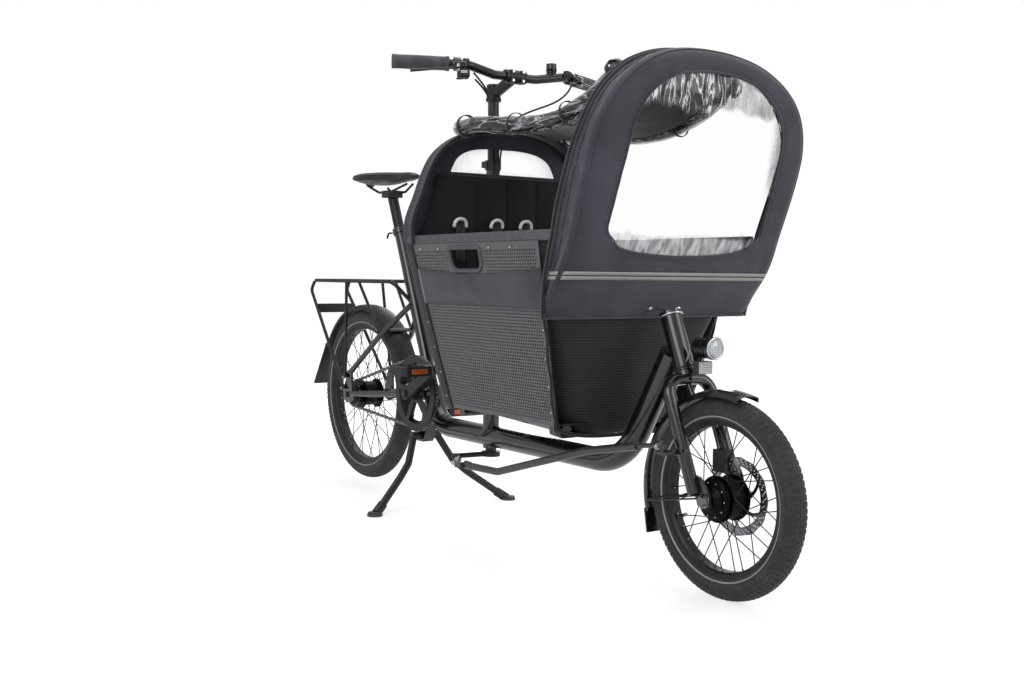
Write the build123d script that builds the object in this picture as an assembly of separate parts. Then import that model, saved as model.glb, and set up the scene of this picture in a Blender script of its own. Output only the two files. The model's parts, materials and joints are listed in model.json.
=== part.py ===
from build123d import *
import math
import os

os.makedirs("parts", exist_ok=True)

# ---------------------------------------------------------------- driving dimensions (millimetres)
seat = 0.3                      # how far a seated piece sinks into the piece that carries it
running = 0.08                  # radial clearance of a shaft in its bearing
rest_gap = 0.3                  # left between a soft piece and what it rests on
face_seat = 0.05                # the same sinking where two large faces meet
pin_clearance = 2.5             # radial clearance at the open rod-end pin

# wheels
wheelbase = 1524.0
rear_tyre_r = 257.0
rear_tyre_section = 26.0
front_tyre_r = 202.5
front_tyre_section = 25.0
stand_lift = 21.0               # the rear tyre hangs this far off the ground on the stand
rim_depth = 14.0
rim_half_width = 15.0
rim_wall = 3.0
spoke_r = 1.1
rear_spoke_count = 36
front_spoke_count = 32
spoke_lead_deg = 38.0
rear_hub_r = 36.0
rear_flange_r = 44.0
rear_flange_y = 27.0
rear_axle_half = 66.0
motor_r = 42.0
motor_flange_r = 47.0
motor_flange_y = 22.0
motor_half = 33.0
front_axle_half = 50.0
rotor_r = 80.0
rotor_inner_r = 62.0
rotor_y = 37.0
rotor_t = 2.0

# frame
main_tube_r = 27.0
main_tube_z = 227.0
main_rear_x = 412.0
main_front_x = wheelbase - 311.0
main_end_x = wheelbase - 158.0
main_end_z = 484.0
rear_bend_r = 95.0
front_bend_r = 165.0
bb_x = 389.0
bb_z = 316.0
bb_shell_r = 21.0
bb_half = 34.0
seat_tube_r = 17.0
seat_tube_deg = 66.6
seat_tube_len = 500.0
post_r = 15.0
post_len = 112.0
head_deg = 68.0
lamp_x = wheelbase - 84.0
lamp_z = 499.0
lamp_r = 20.0
head_low_x = wheelbase - 121.5
head_low_z = 449.0
head_len = 128.0
head_r = 22.0
steerer_r = 14.3
stay_r = 9.0
guard_gap = 2.0                 # tyre to the mudguard's edge, its crown stands 12 mm higher
guard_crown = 14.0
bridge_r = 6.0
dropout_t = 6.0
dropout_in = 67.0

# steering column
column_x = 680.0
column_low_r = 17.0
column_up_r = 14.3
sleeve_r = 21.0
sleeve_low_z = 197.0
sleeve_top_z = 330.0
arm_reach = 100.0
hose_r = 2.4
arm_back = 12.0
arm_z = 181.0
arm_t = 12.0
rod_r = 9.0
rod_end_z = 306.0
rod_eye_r = 11.0
pin_r = 4.5

# handlebar
bar_x = 773.0
bar_z = 1134.0
column_clamp_z = bar_z - 199.0   # the column clamps its upper tube here
column_top_z = bar_z - 12.0
bar_r = 11.0
grip_r = 17.0
grip_in = (bar_x - 7.0, 186.0, bar_z + 15.0)
grip_out = (bar_x - 66.0, 306.0, bar_z + 15.0)

# box
box_top_z = 713.0
box_floor_z = 323.0
box_half_top = 284.0
box_half_low = 187.0
wall_t = 3.0
rear_top_x = 731.0
rear_low_x = 762.0
edge_strip = 34.0
panel_front_x = wheelbase - 317.0
mesh_top_x = wheelbase - 178.0
mesh_low_x = wheelbase - 302.0
mesh_front_half_top = 262.0
mesh_front_half_low = 132.0
mesh_corner_r = 38.0
rail_h = 22.0
rail_w = 22.0
handle_x0 = 926.0
handle_x1 = 1046.0
handle_z0 = 656.0
handle_z1 = 700.0
band_z0 = 574.0
band_z1 = 652.0
band_t = 2.0

# canopy
fabric_t = 3.0
pane_t = 1.2
hood_half = 291.0
hood_low_z = 556.0
hood_top_z = 1098.0
hood_spring_z = 868.0           # where the straight sides turn into the arch
window_low_z = 700.0
window_half_low = 216.0
window_half_top = 205.0
window_spring_z = 905.0
window_top_z = 1045.0
hoop_top_z = bar_z - 128.0       # the roof and its rolls stay clear below the bar
hoop_half = 288.0
hoop_depth = 46.0
rear_window_z = hoop_top_z - 113.0
rear_window_half = 162.0
rear_window_top_z = hoop_top_z - 49.0
roof_half = 132.0
roll_r = 25.0
roll_rise = 12.0                # the rolls' middle above the strip's edge
roll_lean = 0.8                 # cosine of the strip's steepest stretch
roll_end = 36.0                 # how far a roll runs past the last bend
loop_w = 12.0
loop_t = 2.5

hoop_x = rear_top_x - 5

# the rear hoop's right half: half width, and the share of its height over the rail
hoop_line = [(hoop_half, 0), (hoop_half - 2, 0.12915), (hoop_half - 26, 0.35055),
             (hoop_half - 45, 0.53506),
             (hoop_half - 68, 0.70111), (hoop_half - 102, 0.83026), (hoop_half - 148, 0.92251),
             (hoop_half - 208, 0.97786), (0, 1)]

# the hood's front and rear faces seen from the side: height, and distance ahead of the box's top front edge
hood_front = [(hood_low_z, -43), (600, -20), (650, 20), (700, 46), (780, 74), (860, 102), (950, 128),
              (1020, 136), (1060, 134), (hood_top_z + 4, 122)]
hood_back = [(hood_low_z, -56), (640, -42), (740, -20), (860, 26), (940, 58), (1020, 66),
             (hood_top_z + 4, 58)]
hood_room = (mesh_top_x - 246, mesh_top_x + 254)      # a length that holds the whole hood

# the roof strip's side edges: x, z and the rise to its middle; each foil roll lies along an edge
roof_edge = [(hoop_x + hoop_depth + rest_gap, hoop_top_z - 21.5, 18.5),
             (hoop_x + 124, hoop_top_z - 20, 17),
             (mesh_top_x - 386, hoop_top_z - 33, 16),
             (mesh_top_x - 261, hoop_top_z - 43, 16),
             (mesh_top_x - 166, hoop_top_z - 38, 16),
             (mesh_top_x - 76, (hoop_top_z + hood_top_z) / 2 - 60, 18),
             (mesh_top_x - 4, hood_top_z - 71, 22),
             (mesh_top_x + 58, hood_top_z - 28, 25)]
roll_y = roof_half + math.sqrt((roll_r + rest_gap) ** 2 - (roll_lean * (roll_rise - fabric_t)) ** 2)

# drive
ring_r = 100.0
cog_r = 36.0
chain_y = 50.0
chain_w = 8.0
chain_h = 7.0
chain_gap = 1.0
guard_r = 106.0
crank_len = 170.0
crank_deg = 27.0
crank_y = 86.0
crank_t = 13.0
spindle_r = 12.0
pedal_len = 88.0
pedal_w = 92.0
pedal_t = 24.0
pedal_in = 112.0

# stand
stand_x = 345.0
stand_z = 190.0
stand_bar_r = 12.0
foot_x = 448.0
foot_y = 215.0
leg_r = 10.0

# ---------------------------------------------------------------- derived places
rear_axle_z = rear_tyre_r + stand_lift
front_axle_z = front_tyre_r
rear_flap_x = -328.0
rear_flap_z = 283.0
x_mid = (wheelbase + front_tyre_r + rear_flap_x) / 2
head_dir = Vector(-math.cos(math.radians(head_deg)), 0, math.sin(math.radians(head_deg)))
seat_dir = Vector(-math.cos(math.radians(seat_tube_deg)), 0, math.sin(math.radians(seat_tube_deg)))
head_low = Vector(head_low_x, 0, head_low_z)
rear_axle = Vector(0, 0, rear_axle_z)
front_axle = Vector(wheelbase, 0, front_axle_z)
bb = Vector(bb_x, 0, bb_z)
arm_end = Vector(column_x - arm_back, -arm_reach, arm_z)
pin_at = head_low + head_dir * ((rod_end_z - head_low_z) / head_dir.Z) + Vector(-arm_back, -arm_reach, 0)


# ---------------------------------------------------------------- helpers
def mirrored(shape):
    return mirror(shape, about=Plane.XZ)


def both_sides(shape):
    return Compound(children=[shape, mirrored(shape)])


def rod(start, end, radius):
    start, end = Vector(*start), Vector(*end)
    span = end - start
    place = Plane(origin=start, z_dir=span)
    return place * Cylinder(radius, span.length, align=(Align.CENTER, Align.CENTER, Align.MIN))


def cyl_y(x, z, radius, y0, y1):
    return rod((x, y0, z), (x, y1, z), radius)


def bent_path(points, radius):
    points = [Vector(*p) for p in points]
    edges = []
    start = points[0]
    for before, corner, after in zip(points, points[1:], points[2:]):
        u = (before - corner).normalized()
        v = (after - corner).normalized()
        half = u.get_angle(v) / 2
        reach = radius / math.tan(math.radians(half))
        sagitta = radius / math.sin(math.radians(half)) - radius
        a = corner + u * reach
        b = corner + v * reach
        middle = corner + (u + v).normalized() * sagitta
        edges.append(Edge.make_line(start, a))
        edges.append(Edge.make_three_point_arc(a, middle, b))
        start = b
    edges.append(Edge.make_line(start, points[-1]))
    return Wire(edges)


def bent_tube(points, radius, bend):
    path = bent_path(points, bend)
    section = Plane(origin=path @ 0, z_dir=path % 0) * Circle(radius)
    return sweep(section, path=path)


def cable(points, radius):
    path = Spline(*[Vector(*p) for p in points])
    section = Plane(origin=path @ 0, z_dir=path % 0) * Circle(radius)
    return sweep(section, path=path)


def ring_profile(points, x, z, start_deg=0.0):
    """A closed outline of (radius, y) points, standing at an angle round the lateral axis."""
    a = math.radians(start_deg)
    corners = [(x + r * math.cos(a), y, z + r * math.sin(a)) for r, y in points]
    return Face(Wire.make_polygon([Vector(*c) for c in corners], close=True))


def ring(points, x, z, start_deg=0.0, arc=360.0):
    face = ring_profile(points, x, z, start_deg)
    return Solid.revolve(face, arc, Axis((x, 0, z), (0, -1, 0)))


def round_ring(major, section, x, z):
    wire = Wire.make_circle(section, Plane(origin=(x + major, 0, z), z_dir=(0, 0, 1)))
    return Solid.revolve(Face(wire), 360, Axis((x, 0, z), (0, -1, 0)))


def side_prism(points, y0, y1):
    """An outline of (x, z) points drawn from the side and carried across from y0 to y1."""
    face = Face(Wire.make_polygon([Vector(x, y0, z) for x, z in points], close=True))
    return Solid.extrude(face, Vector(0, y1 - y0, 0))


def front_prism(points, x0, x1):
    """An outline of (y, z) points seen from the front and carried from x0 to x1."""
    face = Face(Wire.make_polygon([Vector(x0, y, z) for y, z in points], close=True))
    return Solid.extrude(face, Vector(x1 - x0, 0, 0))


def box_between(x0, x1, y0, y1, z0, z1):
    return Pos((x0 + x1) / 2, (y0 + y1) / 2, (z0 + z1) / 2) * Box(abs(x1 - x0), abs(y1 - y0),
                                                                  abs(z1 - z0))


def arch_outline(half_low, half_top, z_low, z_spring, z_top, steps=14):
    """Half-widths from the bottom edge up to a superelliptic arch, as (y, z) points."""
    right = []
    for i in range(steps + 1):
        t = math.radians(90.0 * i / steps)
        y = half_top * math.cos(t) ** 0.88
        z = z_spring + (z_top - z_spring) * math.sin(t) ** 0.94
        right.append((y, z))
    left = [(-y, z) for y, z in reversed(right[:-1])]
    return [(half_low, z_low)] + right + left + [(-half_low, z_low)]


def inset(points, amount, z_mid):
    out = []
    for y, z in points:
        length = math.hypot(y, z - z_mid)
        out.append((y * (1 - amount / length), z_mid + (z - z_mid) * (1 - amount / length)))
    return out


def box_half(z):
    return box_half_low + (box_half_top - box_half_low) * (z - box_floor_z) / (box_top_z - box_floor_z)


def rear_wall_x(z):
    return rear_low_x + (rear_top_x - rear_low_x) * (z - box_floor_z) / (box_top_z - box_floor_z)


parts = {}


def keep(node, shape):
    parts[node] = shape


# ---------------------------------------------------------------- wheels
def tyre(x, z, outer_r, section):
    major = outer_r - section
    torus = round_ring(major, section, x, z)
    bead = outer_r - 2 * section + rim_depth / 2
    seat_cut = ring([(bead - 12, -rim_half_width), (bead, -rim_half_width),
                     (bead, rim_half_width), (bead - 12, rim_half_width)], x, z)
    return torus - seat_cut


def rim(x, z, outer_r, section):
    top = outer_r - 2 * section + rim_depth / 2 + seat
    low = top - rim_depth
    well = low + rim_wall
    h = rim_half_width - seat
    return ring([(low, -h + 4), (low, h - 4), (low + 4, h), (top, h), (top, h - 2.5), (well + 2, h - 4),
                 (well, h - 6), (well, -h + 6), (well + 2, -h + 4), (top, -h + 2.5), (top, -h),
                 (low + 4, -h)],
                x, z)


def spokes(x, z, rim_r, flange_r, flange_y, count):
    pieces = []
    for i in range(count):
        side = 1 if i % 2 else -1
        lead = spoke_lead_deg if (i // 2) % 2 else -spoke_lead_deg
        at_rim = math.radians(360.0 * i / count)
        at_hub = at_rim + math.radians(lead)
        inner = (x + flange_r * math.cos(at_hub), side * flange_y, z + flange_r * math.sin(at_hub))
        outer = (x + rim_r * math.cos(at_rim), side * 3.0, z + rim_r * math.sin(at_rim))
        pieces.append(rod(inner, outer, spoke_r))
    return Compound(children=pieces)


def rear_hub():
    shell = cyl_y(0, rear_axle_z, rear_hub_r, -rear_flange_y, rear_flange_y)
    for side in (-1, 1):
        shell += cyl_y(0, rear_axle_z, rear_flange_r, side * (rear_flange_y - 2),
                       side * (rear_flange_y + 2))
    shell += cyl_y(0, rear_axle_z, 26, -chain_y + 6, -rear_flange_y)
    shell += cyl_y(0, rear_axle_z, 22, rear_flange_y, 44)
    cog = cyl_y(0, rear_axle_z, cog_r - chain_h / 2 - chain_gap, -chain_y - 2, -chain_y + 2)
    shell += cog + cyl_y(0, rear_axle_z, 20, -chain_y, -chain_y + 8)
    shell += cyl_y(0, rear_axle_z, 9, -rear_axle_half + running, rear_axle_half - running)
    return shell


def front_hub():
    drum = cyl_y(wheelbase, front_axle_z, motor_r, -motor_half, motor_half - 7)
    for side in (-1, 1):
        y = side * motor_flange_y
        drum += cyl_y(wheelbase, front_axle_z, motor_flange_r, y - 1.5, y + 1.5)
    drum += cyl_y(wheelbase, front_axle_z, 32, -motor_half - 5, -motor_half)
    drum += cyl_y(wheelbase, front_axle_z, 24, motor_half - 7, rotor_y - rotor_t / 2)
    drum += cyl_y(wheelbase, front_axle_z, 8, -front_axle_half + 1 + running,
                  front_axle_half - 1 - running)
    return drum


def rotor():
    y0, y1 = rotor_y - rotor_t / 2, rotor_y + rotor_t / 2
    disc = cyl_y(wheelbase, front_axle_z, rotor_r, y0, y1) - cyl_y(wheelbase, front_axle_z, rotor_inner_r,
                                                                   y0 - 1, y1 + 1)
    carrier = cyl_y(wheelbase, front_axle_z, 26, y0, y1)
    for i in range(6):
        a = math.radians(60 * i)
        b = a + math.radians(35)
        start = (wheelbase + 22 * math.cos(a), rotor_y, front_axle_z + 22 * math.sin(a))
        end = (wheelbase + (rotor_inner_r + 4) * math.cos(b), rotor_y,
               front_axle_z + (rotor_inner_r + 4) * math.sin(b))
        span = Vector(*end) - Vector(*start)
        place = Plane(origin=start, x_dir=(0, 1, 0), z_dir=span)
        disc += place * Box(rotor_t, 7, span.length, align=(Align.CENTER, Align.CENTER, Align.MIN))
    hole = cyl_y(wheelbase, front_axle_z, 8 - seat, y0 - 1, y1 + 1)
    return disc + carrier - hole


# ---------------------------------------------------------------- frame
def head_cyl(radius, start, end):
    return rod(tuple(head_low + head_dir * start), tuple(head_low + head_dir * end), radius)


def seat_line(along):
    return bb + seat_dir * along


def main_tube_body(radius):
    middle = ((main_rear_x + main_front_x) / 2, 0, main_tube_z)
    rear = bent_tube([(bb_x - 4, 0, bb_z + 4), (main_rear_x, 0, main_tube_z), middle], radius,
                     rear_bend_r)
    front = bent_tube([middle, (main_front_x, 0, main_tube_z), (main_end_x, 0, main_end_z)], radius,
                      front_bend_r)
    return rear + front


def main_tube():
    tube = main_tube_body(main_tube_r)
    tube -= cyl_y(bb_x, bb_z, bb_shell_r - seat, -60, 60)
    tube -= rod(tuple(seat_line(-60)), tuple(seat_line(120)), seat_tube_r - seat)
    tube -= head_cyl(head_r - seat, -40, head_len + 20)
    tube -= rod((column_x, 0, 150), (column_x, 0, 300), sleeve_r - seat)
    return tube


def stand_bracket():
    block = side_prism([(bb_x - 52, stand_z + 2), (bb_x - 62, stand_z - 2), (bb_x - 60, stand_z - 17),
                        (bb_x - 30, stand_z - 17), (bb_x - 18, stand_z + 4),
                        (bb_x + 6, bb_z - bb_shell_r + 6),
                        (bb_x - 16, bb_z - bb_shell_r + 8)], -17, 17)
    block -= main_tube_body(main_tube_r - seat)
    return block - cyl_y(stand_x, stand_z, stand_bar_r + running, -30, 30)


def seat_tube():
    tube = rod(tuple(seat_line(0)), tuple(seat_line(seat_tube_len)), seat_tube_r)
    collar = rod(tuple(seat_line(seat_tube_len - 16)), tuple(seat_line(seat_tube_len)), seat_tube_r + 4)
    shell = cyl_y(bb_x, bb_z, bb_shell_r, -bb_half, bb_half)
    body = tube + collar + shell + stand_bracket()
    return body - cyl_y(bb_x, bb_z, spindle_r + running, -60, 60)


def seat_post():
    low = seat_line(seat_tube_len - seat)
    top = seat_line(seat_tube_len + post_len)
    post = rod(tuple(low), tuple(top), post_r)
    head = Pos(top.X, 0, top.Z) * Box(44, 46, 20)
    rails = None
    for side in (-1, 1):
        path = [(top.X - 82, side * 30, top.Z + 24), (top.X - 40, side * 22, top.Z + 6),
                (top.X + 40, side * 22, top.Z + 6), (top.X + 104, side * 10, top.Z + 24)]
        rail = bent_tube(path, 3.5, 18)
        rails = rail if rails is None else rails + rail
    return post + head + rails


def saddle():
    top = seat_line(seat_tube_len + post_len)
    x0 = top.X - 138
    base = top.Z + 20
    stations = [(0, 44, 9, 32), (14, 66, 17, 31), (60, 78, 21, 28), (120, 62, 19, 27), (190, 30, 17, 26),
                (250, 23, 14, 25), (278, 14, 7, 24)]
    sections = []
    for x, half, tall, mid in stations:
        sections.append(Plane(origin=(x0 + x, 0, base + mid - 8), x_dir=(0, 1, 0),
                              z_dir=(1, 0, 0)) * Ellipse(half, tall))
    return loft(sections)


def chain_stay(side):
    path = [(bb_x - 10, side * 24, bb_z - 2), (bb_x - 100, side * 33, bb_z - 10), (150, side * 52, 291),
            (24, side * (dropout_in + 3), rear_axle_z + 4)]
    stay = bent_tube(path, stay_r, 60)
    plate = side_prism([(-24, 262), (-22, 300), (2, 352), (26, 356), (30, 292), (46, 286), (40, 262),
                        (0, 252)],
                       side * dropout_in, side * (dropout_in + dropout_t))
    axle_end = cyl_y(0, rear_axle_z, 8.5, side * rear_axle_half, side * (dropout_in + 14))
    return stay + plate + axle_end - cyl_y(bb_x, bb_z, bb_shell_r - seat, -60, 60)


def seat_stay(side):
    top = seat_line(262)
    path = [(14, side * (dropout_in + 3), 345), (172, side * 52, 466), (top.X, side * 14, top.Z)]
    return bent_tube(path, 8, 60)


def chain_stays():
    return both_sides(chain_stay(-1))


def seat_stays():
    stays = seat_stay(-1) + seat_stay(1)
    out = Vector(193, 0, 204).normalized() * (rear_tyre_r + guard_gap + guard_crown + bridge_r - seat)
    stays += cyl_y(out.X, rear_axle_z + out.Z, bridge_r, -48, 48)
    stays -= rod(tuple(seat_line(0)), tuple(seat_line(seat_tube_len)), seat_tube_r - seat)
    for side in (-1, 1):
        stays -= side_prism([(-24, 262), (-22, 300), (2, 352 - seat), (26, 356 - seat), (30, 292),
                             (40, 262)],
                            side * (dropout_in + seat), side * (dropout_in + dropout_t - seat))
    return stays


# ---------------------------------------------------------------- rack and mudguards
rack_z = 622.0
rack_y = 62.0
rack_back_x = -262.0
rack_front_x = 262.0
rack_r = 5.5


def rack_top():
    joint = seat_line(275)
    loop = [(joint.X - 4, -12, joint.Z), (rack_front_x, -rack_y, rack_z), (rack_back_x, -rack_y, rack_z),
            (rack_back_x, rack_y, rack_z), (rack_front_x, rack_y, rack_z), (joint.X - 4, 12, joint.Z)]
    frame = bent_tube(loop, rack_r, 24)
    for x in (-150, -30, 90):
        frame += cyl_y(x, rack_z, 4, -rack_y, rack_y)
    return frame - rod(tuple(seat_line(0)), tuple(seat_line(seat_tube_len)), seat_tube_r - seat)


def rack_legs():
    legs = []
    for side in (-1, 1):
        rear = bent_tube([(rack_back_x + 6, side * rack_y, rack_z - rack_r + seat),
                          (rack_back_x - 14, side * (rack_y + 1), rack_z - 30),
                          (-14, side * (dropout_in + dropout_t + 5), 296)], 5, 12)
        strut = rod((-28, side * rack_y, rack_z - rack_r + seat),
                    (-2, side * (dropout_in + dropout_t + 5), 330), 4.5)
        brace = rod((58, side * rack_y, rack_z - rack_r + seat), (170, side * 55, 475), 4.5)
        brace -= bent_tube([(14, side * (dropout_in + 3), 345), (172, side * 52, 466),
                            (seat_line(262).X, side * 14, seat_line(262).Z)], 8 - seat, 60)
        legs += [rear, strut, brace]
    return Compound(children=legs)


def light_plate():
    x = rack_back_x + 34
    return box_between(x, x + 10, -rack_y - 1, rack_y + 1, rack_z - 102, rack_z - 74)


def guard_profile(inner, half):
    return [(inner, -half), (inner + 9, -half + 3), (inner + 13, -half * 0.45), (inner + 14, 0),
            (inner + 13, half * 0.45),
            (inner + 9, half - 3), (inner, half), (inner - 2, half - 1), (inner + 7, half - 5),
            (inner + 11, half * 0.43), (inner + 12, 0), (inner + 11, -half * 0.43),
            (inner + 7, -half + 5),
            (inner - 2, -half + 1)]


def rear_mudguard():
    inner = rear_tyre_r + guard_gap
    guard = ring(guard_profile(inner, 33), 0, rear_axle_z, 8, 142)
    a = math.radians(149)
    sx, sz = (inner + 13) * math.cos(a), rear_axle_z + (inner + 13) * math.sin(a)
    flap = side_prism([(sx, sz), (sx - 4, sz + 3), (rear_flap_x, rear_flap_z + 4),
                       (rear_flap_x + 5, rear_flap_z)], -31, 31)
    return guard + flap


def front_mudguard():
    inner = front_tyre_r + guard_gap
    guard = ring(guard_profile(inner, 31), wheelbase, front_axle_z, 74, 122)
    a = math.radians(195)
    sx, sz = wheelbase + (inner + 11) * math.cos(a), front_axle_z + (inner + 11) * math.sin(a)
    flap = side_prism([(sx + 3, sz + 4), (sx - 1, sz + 4), (wheelbase - 200, 100),
                       (wheelbase - 196, 100)], -30, 30)
    b = math.radians(116)
    tip = Vector(wheelbase + (inner + 12) * math.cos(b), 0, front_axle_z + (inner + 12) * math.sin(b))
    tab = rod(tuple(tip), tuple(head_low + head_dir * -26), 6)
    stays = None
    for side in (-1, 1):
        stay = rod((sx + 2, side * 29, sz + 20),
                   (wheelbase - 20, side * (front_axle_half + 10), front_axle_z + 2), 2)
        stays = stay if stays is None else stays + stay
    body = guard + flap + tab + stays
    for side in (-1, 1):
        body -= fork_leg(side, 13.5 - seat)
    return body - head_cyl(15, -30, 20)


# ---------------------------------------------------------------- fork
def fork_leg(side, radius):
    crown = head_low + head_dir * -16
    low = head_low + head_dir * -256
    shoulder = head_low + head_dir * -20
    path = [(crown.X, side * 2, crown.Z), (shoulder.X, side * 59, shoulder.Z), (low.X, side * 59, low.Z)]
    return bent_tube(path, radius, 34)


def fork():
    body = fork_leg(-1, 13.5) + fork_leg(1, 13.5)
    body += head_cyl(steerer_r, -24, head_len - 8)
    body += head_cyl(24, -12, -2)
    low = head_low + head_dir * -250
    for side in (-1, 1):
        plate = side_prism([(low.X - 9, low.Z + 34), (low.X + 12, low.Z + 30),
                            (wheelbase + 13, front_axle_z + 12),
                            (wheelbase + 15, front_axle_z - 10), (wheelbase - 6, front_axle_z - 17),
                            (low.X - 4, low.Z - 6)], side * front_axle_half, side * (front_axle_half + 6))
        body += plate
        body += cyl_y(wheelbase, front_axle_z, 9, side * (front_axle_half - 1),
                      side * (front_axle_half + 16))
    bracket = box_between(pin_at.X - 10, pin_at.X + 16, -arm_reach - 7, -66, rod_end_z - 18,
                          rod_end_z - 12)
    bracket += rod((pin_at.X, pin_at.Y, rod_end_z - 16), (pin_at.X, pin_at.Y, rod_end_z + 12), pin_r)
    leg_mid = head_low + head_dir * ((rod_end_z - 15 - head_low_z) / head_dir.Z)
    bracket += box_between(leg_mid.X - 14, leg_mid.X + 12, -70, -60, rod_end_z - 22, rod_end_z - 6)
    return body + bracket


def headlamp():
    crown = head_low + head_dir * -4
    arm = bent_tube([(crown.X + 16, 0, crown.Z - 3), (crown.X + 34, 0, crown.Z + 8),
                     (lamp_x + 12, 0, lamp_z - 5)], 4, 8)
    drum = rod((lamp_x, 0, lamp_z), (lamp_x + 44, 0, lamp_z), lamp_r)
    bezel = rod((lamp_x + 40, 0, lamp_z), (lamp_x + 50, 0, lamp_z), lamp_r + 3)
    reflector = box_between(lamp_x + 6, lamp_x + 22, -lamp_r + 1, lamp_r - 1, lamp_z - 53, lamp_z - 27)
    link = rod((lamp_x + 6, 0, lamp_z - 41), (lamp_x - 2, 0, lamp_z - 33), 4)
    return (arm + drum + bezel + reflector + link) - head_cyl(24 - seat, -14, 0)


def caliper():
    x, z = wheelbase - 62, front_axle_z + 43.5
    body = box_between(x, x + 36, rotor_y - 12, rotor_y + 12, z, z + 46)
    slot = box_between(x - 22, x + 58, rotor_y - 2.5, rotor_y + 2.5, z - 46, z + 36)
    body -= slot
    hub_room = cyl_y(wheelbase, front_axle_z, 50, 0, 80)
    body -= hub_room
    body -= fork_leg(1, 13.5 - seat)
    hose = cable([(x + 12, rotor_y - 7, z + 42), (x - 10, rotor_y - 1, z + 84),
                  (x - 28, rotor_y + 1, z + 120),
                  (x - 38, rotor_y - 1, z + 150)], hose_r)
    return body + hose


def frame_cables():
    """The rear cable: down the front of the sleeve post and back along the main tube's right side."""
    side_y = -main_tube_r - hose_r + seat
    post_x = column_x + sleeve_r + hose_r - seat
    points = [(post_x, -4, sleeve_top_z - 14), (post_x, -6, main_tube_z + 62),
              (post_x + 1, -22, main_tube_z + 30),
              (post_x - 16, side_y - 2, main_tube_z + 6), (post_x - 60, side_y, main_tube_z - 1),
              (column_x - 130, side_y, main_tube_z - 1), (main_rear_x + 74, side_y, main_tube_z),
              (main_rear_x + 34, side_y, main_tube_z + 7)]
    return cable(points, hose_r)


# ---------------------------------------------------------------- steering column
def column():
    shaft = rod((column_x, 0, arm_z - arm_t / 2), (column_x, 0, sleeve_top_z + 4), column_up_r)
    shaft += rod((column_x, 0, sleeve_top_z + 2), (column_x, 0, column_clamp_z), column_low_r)
    shaft += rod((column_x, 0, column_clamp_z - 24), (column_x, 0, column_clamp_z), column_low_r + 4)
    shaft += rod((column_x, 0, column_clamp_z), (column_x, 0, column_top_z - 30), column_up_r)
    shaft += box_between(column_x - 5, column_x + 5, -32, 0, column_clamp_z - 20, column_clamp_z - 4)
    return shaft


def steering_arm():
    hub = rod((column_x, 0, arm_z - arm_t / 2), (column_x, 0, arm_z + arm_t / 2), 24)
    bar = rod((column_x, -8, arm_z), (arm_end.X, arm_end.Y + 4, arm_z), 6.5)
    boss = rod((arm_end.X, arm_end.Y, arm_z - 6), (arm_end.X, arm_end.Y, arm_z + 6), 10)
    stud = rod((arm_end.X, arm_end.Y, arm_z - 24), (arm_end.X, arm_end.Y, arm_z), pin_r)
    bore = rod((column_x, 0, arm_z - 40), (column_x, 0, arm_z + 40), column_up_r - seat)
    return hub + bar + boss + stud - bore


def sleeve():
    tube = rod((column_x, 0, sleeve_low_z), (column_x, 0, sleeve_top_z), sleeve_r)
    return tube - rod((column_x, 0, 150), (column_x, 0, 400), column_up_r + running)


rod_low_z = arm_z - 16


def rod_swivel():
    eye = rod((arm_end.X, arm_end.Y, rod_low_z - 6), (arm_end.X, arm_end.Y, rod_low_z + 4), rod_eye_r)
    eye -= rod((arm_end.X, arm_end.Y, rod_low_z - 20), (arm_end.X, arm_end.Y, rod_low_z + 20),
               pin_r + running)
    neck = rod((arm_end.X + 8, arm_end.Y, rod_low_z - 1), (arm_end.X + 24, arm_end.Y, rod_low_z - 1), 4)
    cross = cyl_y(arm_end.X + 28, rod_low_z - 1, 4.5, arm_end.Y - 12, arm_end.Y + 12)
    return eye + neck + cross


def tie_rod():
    z = rod_low_z - 1
    path = [(arm_end.X + 44, -arm_reach, z), (860, -arm_reach, z + 4),
            (pin_at.X - 248, -arm_reach, rod_end_z - 43), (pin_at.X - 76, -arm_reach, rod_end_z - 10),
            (pin_at.X - 8, -arm_reach, rod_end_z)]
    body = bent_tube(path[:4] , rod_r, 60)
    body += rod((pin_at.X - 82, -arm_reach, rod_end_z - 11), (pin_at.X - 9, -arm_reach, rod_end_z), 5)
    eye = rod((pin_at.X, pin_at.Y, rod_end_z - 5), (pin_at.X, pin_at.Y, rod_end_z + 5), rod_eye_r)
    body += eye
    body -= rod((pin_at.X, pin_at.Y, rod_end_z - 20), (pin_at.X, pin_at.Y, rod_end_z + 20),
                pin_r + pin_clearance)
    for side in (-1, 1):
        cheek = box_between(arm_end.X + 22, arm_end.X + 50, -arm_reach + side * (12 + running),
                            -arm_reach + side * 17, z - 7, z + 7)
        body += cheek
    body += box_between(arm_end.X + 40, arm_end.X + 50, -arm_reach - 17, -arm_reach + 17, z - 7, z + 7)
    return body


def stem():
    clamp = rod((column_x, 0, column_top_z - 38), (column_x, 0, column_top_z), column_up_r + 4)
    neck = rod((column_x + 10, 0, column_top_z - 16), (bar_x, 0, bar_z), 14)
    face = cyl_y(bar_x, bar_z, bar_r + 6, -23, 23)
    body = clamp + neck + face
    body -= cyl_y(bar_x, bar_z, bar_r + 4.9 - seat, -60, 60)
    return body - rod((column_x, 0, column_clamp_z), (column_x, 0, column_top_z - 30), column_up_r - seat)


def handlebar():
    half = [(bar_x, 0, bar_z), (bar_x, 62, bar_z), (grip_in[0] + 20, 146, grip_in[2] - 2), grip_in,
            grip_out]
    right = [(x, -y, z) for x, y, z in half]
    left_tube = bent_tube(half[:3] + [grip_out], bar_r, 40)
    right_tube = bent_tube([right[0], right[1], right[2], (grip_out[0], -grip_out[1], grip_out[2])],
                           bar_r, 40)
    middle = cyl_y(bar_x, bar_z, bar_r + 4.9, -30, 30)
    return left_tube + right_tube + middle


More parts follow.
